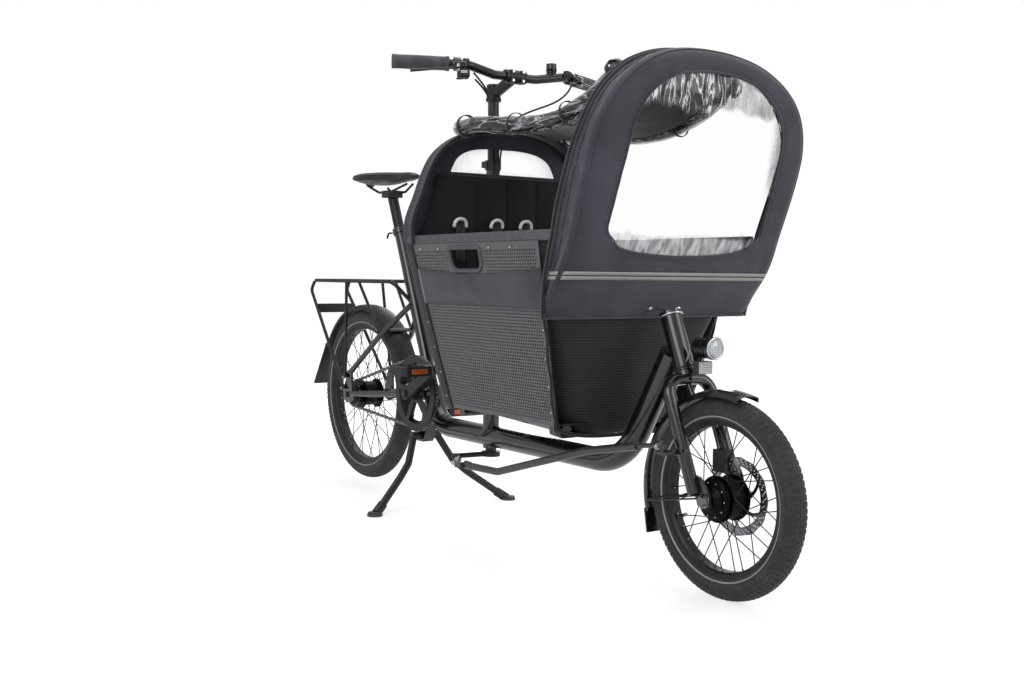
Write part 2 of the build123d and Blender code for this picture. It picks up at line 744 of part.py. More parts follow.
def grip(side):
    start = Vector(grip_in[0], side * grip_in[1], grip_in[2])
    end = Vector(grip_out[0], side * grip_out[1], grip_out[2])
    along = (end - start).normalized()
    body = rod(tuple(start), tuple(end + along * 3), grip_r)
    line = bar_line(side)
    return body - rod(tuple(line[0]), tuple(line[1]), bar_r - seat)


def bar_line(side):
    knee = Vector(grip_in[0] + 20, side * 146, grip_in[2] - 2)
    end = Vector(grip_out[0], side * grip_out[1], grip_out[2])
    return knee, end


def control(side):
    knee, end = bar_line(side)
    along = (end - knee).normalized()
    ahead = Vector(abs(along.Y), side * abs(along.X), 0)
    base = knee + along * 26
    clamp = rod(tuple(base - along * 9), tuple(base + along * 9), bar_r + 5)
    body = rod(tuple(base), tuple(base + ahead * 34 + Vector(0, 0, -14)), 9)
    pivot = base + ahead * 34 + Vector(0, 0, -14)
    tip = base + along * 118 + ahead * 46 + Vector(0, 0, -28)
    lever = rod(tuple(pivot), tuple(tip), 5)
    pod = Pos(*(base + along * -14 + ahead * 18 + Vector(0, 0, -26))) * Box(34, 30, 22)
    whole = clamp + body + lever + Pos(*pivot) * Sphere(11)
    if side < 0:
        whole += pod
    return whole - rod(tuple(knee), tuple(end), bar_r - seat)


def bell():
    knee, end = bar_line(1)
    at = Vector(bar_x + 2, 112, bar_z + 9)
    dome = Pos(at.X, at.Y, at.Z + 24) * Cylinder(13, 22)
    foot = Pos(at.X, at.Y, at.Z + 6) * Cylinder(6, 22)
    return dome + foot - handlebar_core()


def handlebar_core():
    half = [(bar_x, 0, bar_z), (bar_x, 62, bar_z), (grip_in[0] + 20, 146, grip_in[2] - 2), grip_out]
    return bent_tube(half, bar_r - seat, 40)


def bar_cables():
    side_x = column_x + column_low_r + 2.2
    clip_x = column_x + column_low_r + 4 + 2.0
    routes = [[(bar_x + 39, -146, bar_z - 9.5), (bar_x + 30, -100, bar_z - 50),
               (column_x + 58, -46, bar_z - 84), (column_x + 34, -16, bar_z - 122),
               (clip_x + 3, -8, column_clamp_z + 30), (clip_x, -4.5, column_clamp_z - 10),
               (side_x, -3, column_clamp_z - 45)],
              [(bar_x + 34, -138, bar_z - 24), (bar_x + 14, -86, bar_z - 60),
               (column_x + 48, -32, bar_z - 98), (column_x + 31, -6, bar_z - 128),
               (clip_x + 3, -1, column_clamp_z + 30), (clip_x, 0, column_clamp_z - 10),
               (side_x, 0.5, column_clamp_z - 45)],
              [(bar_x + 40, 150, bar_z - 6), (bar_x + 28, 100, bar_z - 58),
               (column_x + 56, 46, bar_z - 88), (column_x + 34, 16, bar_z - 124),
               (clip_x + 3, 8, column_clamp_z + 30), (clip_x, 4.5, column_clamp_z - 10),
               (side_x, 4, column_clamp_z - 45)]]
    run = rod((side_x, 0.5, column_clamp_z - 43), (side_x, 0.5, sleeve_top_z + 20), 2.5)
    return Compound(children=[cable(route, hose_r) for route in routes] + [run])


# ---------------------------------------------------------------- box
def side_plate(x_of, front_x, z0, z1, t_out, t_in):
    """One sloping side wall panel: outline from the rear edge x_of(z) to front_x, on the right."""
    def corner(x, z, off):
        return Vector(x, -(box_half(z) + off), z)
    outer = Wire.make_polygon([corner(x_of(z0), z0, t_out), corner(front_x, z0, t_out),
                               corner(front_x, z1, t_out), corner(x_of(z1), z1, t_out)], close=True)
    return Solid.extrude(Face(outer), Vector(0, t_out + t_in, 0))


def side_panel():
    panel = side_plate(lambda z: rear_wall_x(z) + edge_strip, panel_front_x, box_floor_z, box_top_z, 0,
                       wall_t)
    cut = box_between(handle_x0, handle_x1, -400, -100, handle_z0, handle_z1)
    cut = fillet(cut.edges().filter_by(Axis.Y).group_by(Axis.Z)[0], 20)
    return panel - cut


def side_panels():
    return both_sides(side_panel())


def side_bands():
    band = side_plate(lambda z: rear_wall_x(z) + edge_strip + 2, mesh_top_x - 78, band_z0, band_z1,
                      band_t, face_seat)
    return both_sides(band)


def top_rails():
    y1 = -(box_half_top)
    rail = box_between(rear_top_x + 2, mesh_top_x - 30, y1, y1 + rail_w, box_top_z - seat,
                       box_top_z + rail_h)
    rail = fillet(rail.edges().filter_by(Axis.X), 5)
    return both_sides(rail)


def rear_wall():
    low, top = box_floor_z, box_top_z
    def corner(z, y_sign, off=0):
        return Vector(rear_wall_x(z), y_sign * box_half(z), z)
    face = Face(Wire.make_polygon([corner(low, -1), corner(low, 1), corner(top, 1), corner(top, -1)],
                                  close=True))
    wall = Solid.extrude(face, Vector(wall_t, 0, 0))
    strip = side_plate(lambda z: rear_wall_x(z), rear_low_x + edge_strip + 40, low, top, 0, wall_t)
    limit = side_prism([(rear_wall_x(low) - 5, low - 5), (rear_wall_x(low) + edge_strip + seat, low - 0),
                        (rear_wall_x(top) + edge_strip + seat, top), (rear_wall_x(top) - 5, top + 5)],
                        -400, 400)
    strip = strip & limit
    return wall + strip + mirrored(strip)


def mesh_section(z, grow):
    t = (z - box_floor_z) / (box_top_z - box_floor_z)
    front_x = mesh_low_x + (mesh_top_x - mesh_low_x) * t - grow
    half_front = mesh_front_half_low + (mesh_front_half_top - mesh_front_half_low) * t - grow
    half_rear = box_half(z) - grow
    back_x = panel_front_x - (0 if grow == 0 else 20)
    sketch = Polygon((back_x, -half_rear), (front_x, -half_front), (front_x, half_front),
                     (back_x, half_rear),
                     align=None)
    sketch = fillet(sketch.vertices().group_by(Axis.X)[-1], mesh_corner_r - grow)
    return Plane(origin=(0, 0, z)) * sketch


def front_mesh():
    low = box_floor_z - 22
    outer = loft([mesh_section(low, 0), mesh_section(box_top_z, 0)], ruled=True)
    inner = loft([mesh_section(low + fabric_t, fabric_t), mesh_section(box_top_z + 6, fabric_t)],
                 ruled=True)
    shell = outer - inner
    return shell - box_between(panel_front_x - 107, panel_front_x, -400, 400, 200, 800)


def box_floor():
    z0, z1 = box_floor_z, box_floor_z + 4
    half = box_half(z0) - wall_t + seat
    x0 = rear_wall_x(z0) + wall_t - seat
    plate = box_between(x0, panel_front_x + 2, -half, half, z0, z1)
    return plate


def box_frame():
    rails = None
    z = box_floor_z - 10 + seat
    for side in (-1, 1):
        line = rod((column_x + 8, side * 10, 297), (panel_front_x - 8, side * 150, z), 10)
        rails = line if rails is None else rails + line
    for x, half in ((rear_low_x + 58, 176), (panel_front_x - 27, 176)):
        rails += cyl_y(x, z, 10, -half, half)
    hanger = box_between(column_x, 760, -30, 30, 290, 312)
    body = sleeve() + rails + hanger
    body -= rod((column_x, 0, 150), (column_x, 0, 400), column_up_r + running)
    return body - rod((column_x, 0, sleeve_top_z), (column_x, 0, 500), 60)


def seat_back():
    z0, z1 = box_floor_z + 4, rear_window_z - 3
    def x_face(z):
        return rear_wall_x(min(z, box_top_z)) + wall_t
    right = [(box_half(z0) - 6, z0), (box_half(box_top_z - 13) - 14, box_top_z - 13),
             (hoop_half - 52, hoop_z(0.1661)), (hoop_half - 84, z1)]
    outline = right + [(-y, z) for y, z in reversed(right)]
    slab = front_prism(outline, 700, 900)
    side = side_prism([(x_face(z0) - face_seat, z0), (x_face(z0) + 24, z0), (x_face(z1) + 24, z1),
                       (x_face(z1), z1),
                       (x_face(box_top_z) - face_seat, box_top_z)], -300, 300)
    return slab & side


def seat_cushion():
    z0, z1 = box_floor_z + 90, box_floor_z + 140
    right = [(box_half(z0) - wall_t + seat, z0), (box_half(z1) - wall_t + seat, z1)]
    outline = right + [(-y, z) for y, z in reversed(right)]
    x0 = rear_wall_x(z0) + wall_t + 24 - 3
    return front_prism(outline, x0, x0 + 215) - seat_back()


# ---------------------------------------------------------------- canopy
def hood_slab(front_off, back_off):
    front = [(mesh_top_x + x - front_off, z) for z, x in hood_front]
    back = [(mesh_top_x + x - back_off, z) for z, x in reversed(hood_back)]
    return side_prism(front + back, -400, 400)


def hood_outline(amount):
    outline = arch_outline(hood_half, hood_half, hood_low_z - 10, hood_spring_z, hood_top_z)
    narrow = (hood_half - amount) / hood_half
    lower = 1 - amount / (hood_top_z - hood_spring_z)
    return [(y * narrow, hood_spring_z + (z - hood_spring_z) * (lower if z > hood_spring_z else 1))
            for y, z in outline]


def window_outline(grow):
    points = arch_outline(window_half_low, window_half_top, window_low_z, window_spring_z, window_top_z)
    mid = (window_low_z + window_top_z) / 2
    return [(y + math.copysign(grow, y) if abs(y) > 1 else y, z + math.copysign(grow, z - mid)) for y,
            z in points]


def canopy_front():
    outer = front_prism(hood_outline(0), *hood_room) & hood_slab(0, 0)
    inner = front_prism(hood_outline(fabric_t), hood_room[0] - 100, hood_room[1]) & hood_slab(fabric_t,
                                                                                              90)
    shell = outer - inner
    return shell - front_prism(window_outline(0), hood_room[0] + 100, hood_room[1])


def front_window():
    pane = hood_slab(0.9, 0) - hood_slab(0.9 + pane_t, 90)
    return pane & front_prism(window_outline(seat), hood_room[0] + 130, hood_room[1])


def hoop_z(share):
    """The height at a share of the rear hoop's rise over the rail."""
    foot = box_top_z + rail_h
    return foot + share * (hoop_top_z - foot)


def rear_outline(amount):
    right = []
    for y, share in hoop_line:
        top = share > 0.76
        right.append((y - amount if y > 0 else 0, hoop_z(share) - (amount if top else 0)))
    return right + [(-y, z) for y, z in reversed(right[:-1])]


def rear_window_outline(grow):
    right = [(rear_window_half + grow, rear_window_z - grow),
             (rear_window_half - 22 + grow, rear_window_z + 27),
             (rear_window_half - 50 + grow, rear_window_top_z - 16 + grow),
             (rear_window_half - 92, rear_window_top_z - 4 + grow),
             (0, rear_window_top_z + grow)]
    return right + [(-y, z) for y, z in reversed(right[:-1])]


def canopy_rear():
    shell = front_prism(rear_outline(0), hoop_x, hoop_x + hoop_depth)
    inner = [(y, z - (20 if z < hoop_z(0.09) else 0)) for y, z in rear_outline(fabric_t)]
    shell -= front_prism(inner, hoop_x + fabric_t, hoop_x + hoop_depth + 5)
    shell -= front_prism(rear_window_outline(0), hoop_x - 10, hoop_x + 20)
    foot = box_between(hoop_x, rear_top_x + seat, -hoop_half + 8, hoop_half - 8, box_top_z - 20,
                       box_top_z + rail_h + 1)
    return shell + foot


def rear_window():
    return front_prism(rear_window_outline(seat), hoop_x + 0.9, hoop_x + 0.9 + pane_t)


def roof_section(x, z, rise):
    steps = 8
    low = []
    for i in range(steps + 1):
        y = -roof_half + 2 * roof_half * i / steps
        low.append((y, z + rise * (1 - (y / roof_half) ** 2)))
    high = [(y, h + fabric_t) for y, h in reversed(low)]
    return Wire.make_polygon([Vector(x, y, h) for y, h in low + high], close=True)


def roll_points():
    """The middle line of the right foil roll, from the rear hoop to just behind the hood."""
    points = [Vector(x, -roll_y, z + roll_rise) for x, z, rise in roof_edge]
    points[0] += Vector(rest_gap, 0, 0)
    points[-1] = points[-2] + (points[-1] - points[-2]).normalized() * roll_end
    return points


def roll_loop(a, b, share):
    """An elastic band round the roll between two of its points, sewn to the roof strip's edge."""
    along = (b - a).normalized()
    middle = a + (b - a) * share
    low, high = middle - along * loop_w / 2, middle + along * loop_w / 2
    band = rod(low, high, roll_r + rest_gap + loop_t)
    return band - rod(low - along, high + along, roll_r + rest_gap)


def roof_strip():
    strip = Solid.make_loft([roof_section(x, z, rise) for x, z, rise in roof_edge], True)
    points = roll_points()
    for i in range(0, len(points) - 1, 2):
        loop = roll_loop(points[i], points[i + 1], 0.4)
        strip = strip + loop + mirrored(loop)
    return strip


def foil_roll():
    points = roll_points()
    roll = rod(points[0], points[1], roll_r)
    for a, b in zip(points[1:], points[2:]):
        roll += rod(a, b, roll_r)
    for point in points[1:-1]:
        roll += Pos(point.X, point.Y, point.Z) * Sphere(roll_r)
    return roll


# ---------------------------------------------------------------- drive
def hull_face(r1, r2):
    """The outline a chain follows round the chainring and the cog, as (x, z) points."""
    dx, dz = bb_x, bb_z - rear_axle_z
    gap = math.hypot(dx, dz)
    tilt = math.atan2(dz, dx)
    spread = math.acos((r1 - r2) / gap)
    points = []
    away = math.pi - spread
    for i in range(29):
        a = tilt - away + 2 * away * i / 28
        points.append((bb_x + r1 * math.cos(a), bb_z + r1 * math.sin(a)))
    for i in range(15):
        a = tilt + away + 2 * spread * i / 14
        points.append((r2 * math.cos(a), rear_axle_z + r2 * math.sin(a)))
    return points


def chain():
    outer = side_prism(hull_face(ring_r + chain_h / 2, cog_r + chain_h / 2), -chain_y - chain_w / 2,
                       -chain_y + chain_w / 2)
    inner = side_prism(hull_face(ring_r - chain_h / 2, cog_r - chain_h / 2), -chain_y - chain_w,
                       -chain_y + chain_w)
    return outer - inner


def crank_tip(side):
    a = math.radians(crank_deg) + (0 if side < 0 else math.pi)
    return Vector(bb_x + crank_len * math.cos(a), side * crank_y, bb_z + crank_len * math.sin(a))


def crank_arm(side):
    tip = crank_tip(side)
    y0, y1 = side * (crank_y - crank_t / 2), side * (crank_y + crank_t / 2)
    a = math.atan2(tip.Z - bb_z, tip.X - bb_x)
    nx, nz = -math.sin(a), math.cos(a)
    arm = side_prism([(bb_x + nx * 17, bb_z + nz * 17), (bb_x - nx * 17, bb_z - nz * 17),
                      (tip.X - nx * 11, tip.Z - nz * 11), (tip.X + nx * 11, tip.Z + nz * 11)], y0, y1)
    arm += cyl_y(bb_x, bb_z, 18, y0, y1) + cyl_y(tip.X, tip.Z, 12, y0, y1)
    axle = cyl_y(tip.X, tip.Z, 5, y0, side * (pedal_in + pedal_w - 8))
    return arm + axle


def cranks():
    body = crank_arm(-1) + crank_arm(1)
    return body + cyl_y(bb_x, bb_z, spindle_r, -crank_y, crank_y)


def chainring():
    y = -chain_y
    plate = cyl_y(bb_x, bb_z, ring_r - chain_h / 2 - chain_gap, y - 2, y + 2) - cyl_y(bb_x, bb_z, 78, -99,
                                                                                      0)
    guard = cyl_y(bb_x, bb_z, guard_r, y - 12, y - 9) - cyl_y(bb_x, bb_z, 84, -99, 0)
    body = plate + guard
    for i in range(5):
        a = math.radians(72 * i + crank_deg)
        start = Vector(bb_x + 12 * math.cos(a), y - 6, bb_z + 12 * math.sin(a))
        end = Vector(bb_x + 91 * math.cos(a), y - 6, bb_z + 91 * math.sin(a))
        span = end - start
        place = Plane(origin=start, x_dir=(0, 1, 0), z_dir=span)
        body += place * Box(12, 15, span.length, align=(Align.CENTER, Align.CENTER, Align.MIN))
    body += cyl_y(bb_x, bb_z, 26, y - 12, y + 2)
    body += cyl_y(bb_x, bb_z, 19, -crank_y + crank_t / 2 - seat, y)
    return body - cyl_y(bb_x, bb_z, spindle_r - seat, -99, 0)


def pedal(side):
    tip = crank_tip(side)
    y0, y1 = side * pedal_in, side * (pedal_in + pedal_w)
    lo, hi = min(y0, y1), max(y0, y1)
    body = box_between(tip.X - pedal_len / 2, tip.X + pedal_len / 2, lo, hi, tip.Z - pedal_t / 2,
                       tip.Z + pedal_t / 2)
    body = fillet(body.edges().filter_by(Axis.Z), 14)
    for dx in (-1, 1):
        body -= box_between(tip.X + dx * 12 if dx > 0 else tip.X - 34,
                            tip.X + 34 if dx > 0 else tip.X - 12,
                            lo + 14, hi - 14, tip.Z - 40, tip.Z + 40)
    return body - cyl_y(tip.X, tip.Z, 5 + running, y0 - side * 5, y1 - side * 6)


# ---------------------------------------------------------------- stand
def stand():
    body = cyl_y(stand_x, stand_z, stand_bar_r, -46, 46)
    for side in (-1, 1):
        body += bent_tube([(stand_x, side * 38, stand_z - 2), (375, side * 72, 118),
                           (393, side * 108, 84),
                           (foot_x - 6, side * (foot_y - 12), 10)], leg_r, 16)
        foot = Pos(foot_x, side * foot_y, 0) * Cylinder(19, 10,
                                                        align=(Align.CENTER, Align.CENTER, Align.MIN))
        shank = rod((foot_x - 16, side * (foot_y - 32), 25), (foot_x - 2, side * (foot_y - 4), 5), 13)
        shank -= box_between(300, 600, -400, 400, -60, 0)
        body += foot + shank
    return body


# ---------------------------------------------------------------- assembly
keep("main_tube", main_tube())
keep("head_tube",
     head_cyl(head_r, 0, head_len) + head_cyl(head_r + 3, 0, 9) + head_cyl(head_r + 2, head_len - 9,
                                                                           head_len)
     - head_cyl(steerer_r + running, -5, head_len - 5))
keep("seat_tube", seat_tube())
keep("seat_post", seat_post())
keep("saddle", saddle() - seat_post())
keep("chain_stays", chain_stays())
keep("seat_stays", seat_stays())
keep("rack_top", rack_top())
keep("rack_legs", rack_legs())
keep("light_plate", light_plate())
keep("rear_mudguard", rear_mudguard())
keep("box_frame", box_frame())
keep("frame_cables", frame_cables())
keep("box_floor", box_floor())
keep("side_panels", side_panels())
keep("side_bands", side_bands())
keep("top_rails", top_rails())
keep("rear_wall", rear_wall())
keep("front_mesh", front_mesh())
keep("seat_back", seat_back())
keep("seat_cushion", seat_cushion())
keep("canopy_rear", canopy_rear())
keep("rear_window", rear_window())
keep("canopy_front", canopy_front())
keep("front_window", front_window())
keep("roof_strip", roof_strip())
keep("foil_roll_right", foil_roll())
keep("foil_roll_left", mirrored(foil_roll()))
keep("chain", chain())
keep("column", column())
keep("steering_arm", steering_arm())
keep("stem", stem())
keep("handlebar", handlebar())
keep("grips", Compound(children=[grip(-1), grip(1)]))
keep("controls", Compound(children=[control(-1), control(1)]))
keep("bell", bell())
keep("bar_cables", bar_cables())
keep("rod_swivel", rod_swivel())
keep("tie_rod", tie_rod())
keep("fork", fork())
keep("front_mudguard", front_mudguard())
keep("headlamp", headlamp())
keep("caliper", caliper())
keep("front_tyre", tyre(wheelbase, front_axle_z, front_tyre_r, front_tyre_section))
keep("front_rim", rim(wheelbase, front_axle_z, front_tyre_r, front_tyre_section))
keep("front_spokes",
     spokes(wheelbase, front_axle_z, front_tyre_r - 2 * front_tyre_section - rim_depth / 2 + 1.5,
                            motor_flange_r - 3, motor_flange_y, front_spoke_count))
keep("front_hub", front_hub())
keep("rotor", rotor())
keep("rear_tyre", tyre(0, rear_axle_z, rear_tyre_r, rear_tyre_section))
keep("rear_rim", rim(0, rear_axle_z, rear_tyre_r, rear_tyre_section))
keep("rear_spokes", spokes(0, rear_axle_z, rear_tyre_r - 2 * rear_tyre_section - rim_depth / 2 + 1.5,
                           rear_flange_r - 3, rear_flange_y, rear_spoke_count))
keep("rear_hub", rear_hub())
keep("chainring", chainring())
keep("cranks", cranks())
keep("pedal_right", pedal(-1))
keep("pedal_left", pedal(1))
keep("stand", stand())

for node, shape in parts.items():
    export_step(Pos(-x_mid, 0, 0) * shape, f"parts/{node}.step")
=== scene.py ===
"""Dresses the cargo bike's CAD frame: finishes, soft goods, wheels, cockpit, trim, floor, light and camera."""

import json
import logging
import math
from dataclasses import dataclass, field
from enum import Enum
from typing import Callable, Sequence

import bmesh
import bpy
from mathutils import Matrix, Vector, noise

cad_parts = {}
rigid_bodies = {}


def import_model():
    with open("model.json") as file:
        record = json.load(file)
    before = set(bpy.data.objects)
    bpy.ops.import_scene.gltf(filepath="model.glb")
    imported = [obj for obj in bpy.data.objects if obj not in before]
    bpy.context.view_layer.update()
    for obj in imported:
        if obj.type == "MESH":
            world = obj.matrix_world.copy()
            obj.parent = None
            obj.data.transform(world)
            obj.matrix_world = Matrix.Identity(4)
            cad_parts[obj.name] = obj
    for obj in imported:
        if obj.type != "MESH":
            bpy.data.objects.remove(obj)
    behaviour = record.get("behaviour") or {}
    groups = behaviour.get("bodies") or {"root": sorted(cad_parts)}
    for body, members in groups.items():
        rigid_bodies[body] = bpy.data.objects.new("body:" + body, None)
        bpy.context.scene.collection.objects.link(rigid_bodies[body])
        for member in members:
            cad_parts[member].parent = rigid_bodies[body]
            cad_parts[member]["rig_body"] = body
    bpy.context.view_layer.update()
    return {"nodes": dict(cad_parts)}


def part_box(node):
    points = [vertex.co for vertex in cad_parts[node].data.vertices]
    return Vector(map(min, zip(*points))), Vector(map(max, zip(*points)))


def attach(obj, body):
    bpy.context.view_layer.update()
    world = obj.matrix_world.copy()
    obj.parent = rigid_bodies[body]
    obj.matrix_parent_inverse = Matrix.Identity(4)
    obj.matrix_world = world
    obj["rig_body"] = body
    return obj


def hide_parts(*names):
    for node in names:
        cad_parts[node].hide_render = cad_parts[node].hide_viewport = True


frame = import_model()
LOG = logging.getLogger("cargo_bike")

REAR = [(a + b) / 2 for a, b in zip(*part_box("rear_tyre"))]
FRONT = [(a + b) / 2 for a, b in zip(*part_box("front_tyre"))]
Point = Sequence[float]
Color = tuple[float, float, float]

SIDES = ((-1, "right"), (1, "left"))
AHEAD, LEFT, UP = Vector((1, 0, 0)), Vector((0, 1, 0)), Vector((0, 0, 1))
WALL_OUT = Vector((0, -0.97, -0.24))   # outwards from the right wall of the box
SWELL_STEPS = 20                       # frames of cloth simulation for a pad
SWELL_PRESSURE = 4.0


def at(x: float, y: float, z: float) -> Vector:
    """A point in metres from millimetres forward of the rear axle, to the left, and above the ground.

    Args:
        x, y, z: the place in millimetres.
    Returns:
        The place in the row frame, in metres.
    """
    return Vector((REAR[0] + x / 1000, y / 1000, z / 1000))


def srgb(r: float, g: float, b: float) -> Color:
    """Linear colour from 0-255 display values."""
    def one(v: float) -> float:
        """One channel, made linear."""
        v /= 255
        return v / 12.92 if v <= 0.04045 else ((v + 0.055) / 1.055) ** 2.4
    return one(r), one(g), one(b)


def circle(count: int) -> list[float]:
    """Angles in radians, evenly spaced round a full turn."""
    return [math.tau * k / count for k in range(count)]


def tone(color: Color, share: float, lift: float = 0.0) -> Color:
    """A colour scaled and lifted, in linear values."""
    return tuple(min(c * share + lift, 1) for c in color)


# ---------------------------------------------------------------- finishes
class Graph:
    """Adds shader nodes to one material, all on Object coordinates in metres."""

    def __init__(self, name: str) -> None:
        """Starts an empty material with its output and main shader.

        Args:
            name: the material's name.
        """
        self.material = bpy.data.materials.new(name)
        self.material.use_nodes = True
        self.tree = self.material.node_tree
        self.tree.nodes.clear()
        self.out = self.add("ShaderNodeOutputMaterial")
        self.shader = self.add("ShaderNodeBsdfPrincipled")
        self.link(self.shader.outputs["BSDF"], self.out.inputs["Surface"])
        self.where = self.add("ShaderNodeTexCoord").outputs["Object"]

    def add(self, kind: str, **settings: object) -> bpy.types.Node:
        """A new node of one kind.

        Args:
            kind: the node's type name.
            settings: attributes of the node to set.
        Returns:
            The node.
        """
        node = self.tree.nodes.new(kind)
        for key, value in settings.items():
            setattr(node, key, value)
        return node

    def link(self, source: bpy.types.NodeSocket, target: bpy.types.NodeSocket) -> None:
        """Joins two sockets."""
        self.tree.links.new(source, target)

    def put(self, node: bpy.types.Node, key: str | int, value: object) -> None:
        """Sets an input to a constant, or links it if value is a socket.

        Args:
            node: the node that has the input.
            key: the input's name or number.
            value: the constant or the socket.
        """
        if isinstance(value, bpy.types.NodeSocket):
            self.link(value, node.inputs[key])
        else:
            node.inputs[key].default_value = value

    def place(self, stretch: Point = (1, 1, 1), turn: Point = (0, 0, 0)) -> bpy.types.NodeSocket:
        """Object coordinates, turned and stretched.

        Args:
            stretch: the scale along each axis.
            turn: the rotation about each axis.
        Returns:
            The coordinates.
        """
        node = self.add("ShaderNodeMapping")
        self.put(node, "Vector", self.where)
        self.put(node, "Rotation", turn)
        self.put(node, "Scale", stretch)
        return node.outputs["Vector"]

    def noise(self, scale: float, detail: float = 3, stretch: Point = (1, 1, 1),
              distort: float = 0) -> bpy.types.NodeSocket:
        """Noise from 0 to 1 with features of about 1/scale metres.

        Args:
            scale, detail, distort: the texture's own values.
            stretch: the scale along each axis.
        Returns:
            The noise value.
        """
        node = self.add("ShaderNodeTexNoise")
        self.put(node, "Vector", self.place(stretch))
        self.put(node, "Scale", scale)
        self.put(node, "Detail", detail)
        self.put(node, "Distortion", distort)
        return node.outputs["Fac"]

    def cells(self, scale: float, feature: str = "F1", stretch: Point = (1, 1, 1)) -> bpy.types.NodeSocket:
        """Distance inside a cell pattern, for grain.

        Args:
            scale: cells to a metre, roughly.
            feature: which distance is taken.
            stretch: the scale along each axis.
        Returns:
            The distance.
        """
        node = self.add("ShaderNodeTexVoronoi", feature=feature)
        self.put(node, "Vector", self.place(stretch))
        self.put(node, "Scale", scale)
        return node.outputs["Distance"]

    def wave(self, pitch: float, axis: str, bend: float = 0, source: bpy.types.NodeSocket | None = None,
             ) -> bpy.types.NodeSocket:
        """Parallel bands, one every pitch metres along an axis.

        Args:
            pitch: metres from band to band.
            axis: the direction across the bands.
            bend: how far they are distorted.
            source: other coordinates to use.
        Returns:
            The band value, 0 to 1.
        """
        node = self.add("ShaderNodeTexWave", wave_type="BANDS", bands_direction=axis)
        self.put(node, "Vector", source or self.where)
        self.put(node, "Scale", math.tau / pitch / 20)
        self.put(node, "Distortion", bend)
        self.put(node, "Detail", 0.0)
        return node.outputs["Fac"]

    def math(self, kind: str, a: object, b: object = 0.0, c: object = 0.0) -> bpy.types.NodeSocket:
        """A Math node's result.

        Args:
            kind: the operation.
            a, b, c: its inputs, each a number or a socket.
        Returns:
            The result.
        """
        node = self.add("ShaderNodeMath", operation=kind)
        for i, value in enumerate((a, b, c)):
            self.put(node, i, value)
        return node.outputs[0]

    def span(self, source: object, low: float, high: float, out_low: float = 0, out_high: float = 1,
             ) -> bpy.types.NodeSocket:
        """A value mapped from low..high to out_low..out_high, and held inside it.

        Args:
            source: the value.
            low, high: where it comes from.
            out_low, out_high: where it goes.
        Returns:
            The mapped value.
        """
        node = self.add("ShaderNodeMapRange")
        for key, value in (("Value", source), ("From Min", low), ("From Max", high),
                           ("To Min", out_low), ("To Max", out_high)):
            self.put(node, key, value)
        return node.outputs["Result"]

    def blend(self, share: object, a: object, b: object) -> bpy.types.NodeSocket:
        """A colour between a and b.

        Args:
            share: 0 for a, 1 for b.
            a, b: colours or sockets.
        Returns:
            The colour.
        """
        node = self.add("ShaderNodeMix", data_type="RGBA")
        self.put(node, 0, share)
        for key, value in ((6, a), (7, b)):
            self.put(node, key, (*value, 1) if isinstance(value, tuple) and len(value) == 3 else value)
        return node.outputs[2]

    def bump(self, height: bpy.types.NodeSocket, depth: float, strength: float = 1,
             under: bpy.types.NodeSocket | None = None) -> bpy.types.NodeSocket:
        """A bumped normal, depth in metres.

        Args:
            height: the relief, 0 to 1.
            depth: what 1 stands for, in metres.
            strength: how much of it shows.
            under: a coarser normal that it lies on.
        Returns:
            The normal.
        """
        node = self.add("ShaderNodeBump")
        self.put(node, "Height", height)
        self.put(node, "Distance", depth)
        self.put(node, "Strength", strength)
        if under is not None:
            self.link(under, node.inputs["Normal"])
        return node.outputs["Normal"]

    def edge(self) -> bpy.types.NodeSocket:
        """1 on sharp outer edges, 0 on flats, for wear."""
        return self.span(self.add("ShaderNodeNewGeometry").outputs["Pointiness"], 0.53, 0.6)

    def dress(self, **values: object) -> bpy.types.Material:
        """Sets the main shader's inputs by name, with _ for a space, and returns the material.

        Args:
            values: inputs of the main shader.
        Returns:
            The material.
        """
        for key, value in values.items():
            value = (*value, 1) if isinstance(value, tuple) and len(value) == 3 else value
            self.put(self.shader, key.replace("_", " "), value)
        return self.material


@dataclass(frozen=True)
class Finish:
    """A surface finish that becomes one material."""

    name: str
    color: Color
    roughness: float = 0.5

    def shade(self, g: Graph) -> None:
        """Plain moulded surface with a little mottling."""
        mottle = g.noise(90)
        light = tone(self.color, 1.25, 0.002)
        g.dress(Base_Color=g.blend(mottle, self.color, light), Roughness=g.span(g.noise(300), 0.3, 0.7,
                self.roughness - 0.06, self.roughness + 0.06), Normal=g.bump(g.noise(1500), 0.0001, 0.3))

    def material(self) -> bpy.types.Material:
        """The finish's material, made once."""
        found = bpy.data.materials.get(self.name)
        if found:
            return found
        g = Graph(self.name)
        self.shade(g)
        return g.material


@dataclass(frozen=True)
class Paint(Finish):
    """Sprayed paint or powder coat, with a clear coat where it is glossy."""

    coat: float = 0.0
    grain: float = 700

    def shade(self, g: Graph) -> None:
        """Fine orange peel, dust in the roughness, edges rubbed a little lighter."""
        peel = g.noise(self.grain, 2)
        wear_and_painted_reflection = tone(self.color, 1.25, 0.004)
        rub = g.math("MULTIPLY", g.edge(), g.span(g.noise(60), 0.45, 0.7))
        g.dress(Base_Color=g.blend(rub, self.color, wear_and_painted_reflection), Coat_Weight=self.coat, Coat_Roughness=0.06,
                Roughness=g.span(g.noise(14, 3), 0.3, 0.75, self.roughness - 0.02, self.roughness + 0.04),
                Specular_IOR_Level=0.5, Normal=g.bump(peel, 0.00012, 0.35))


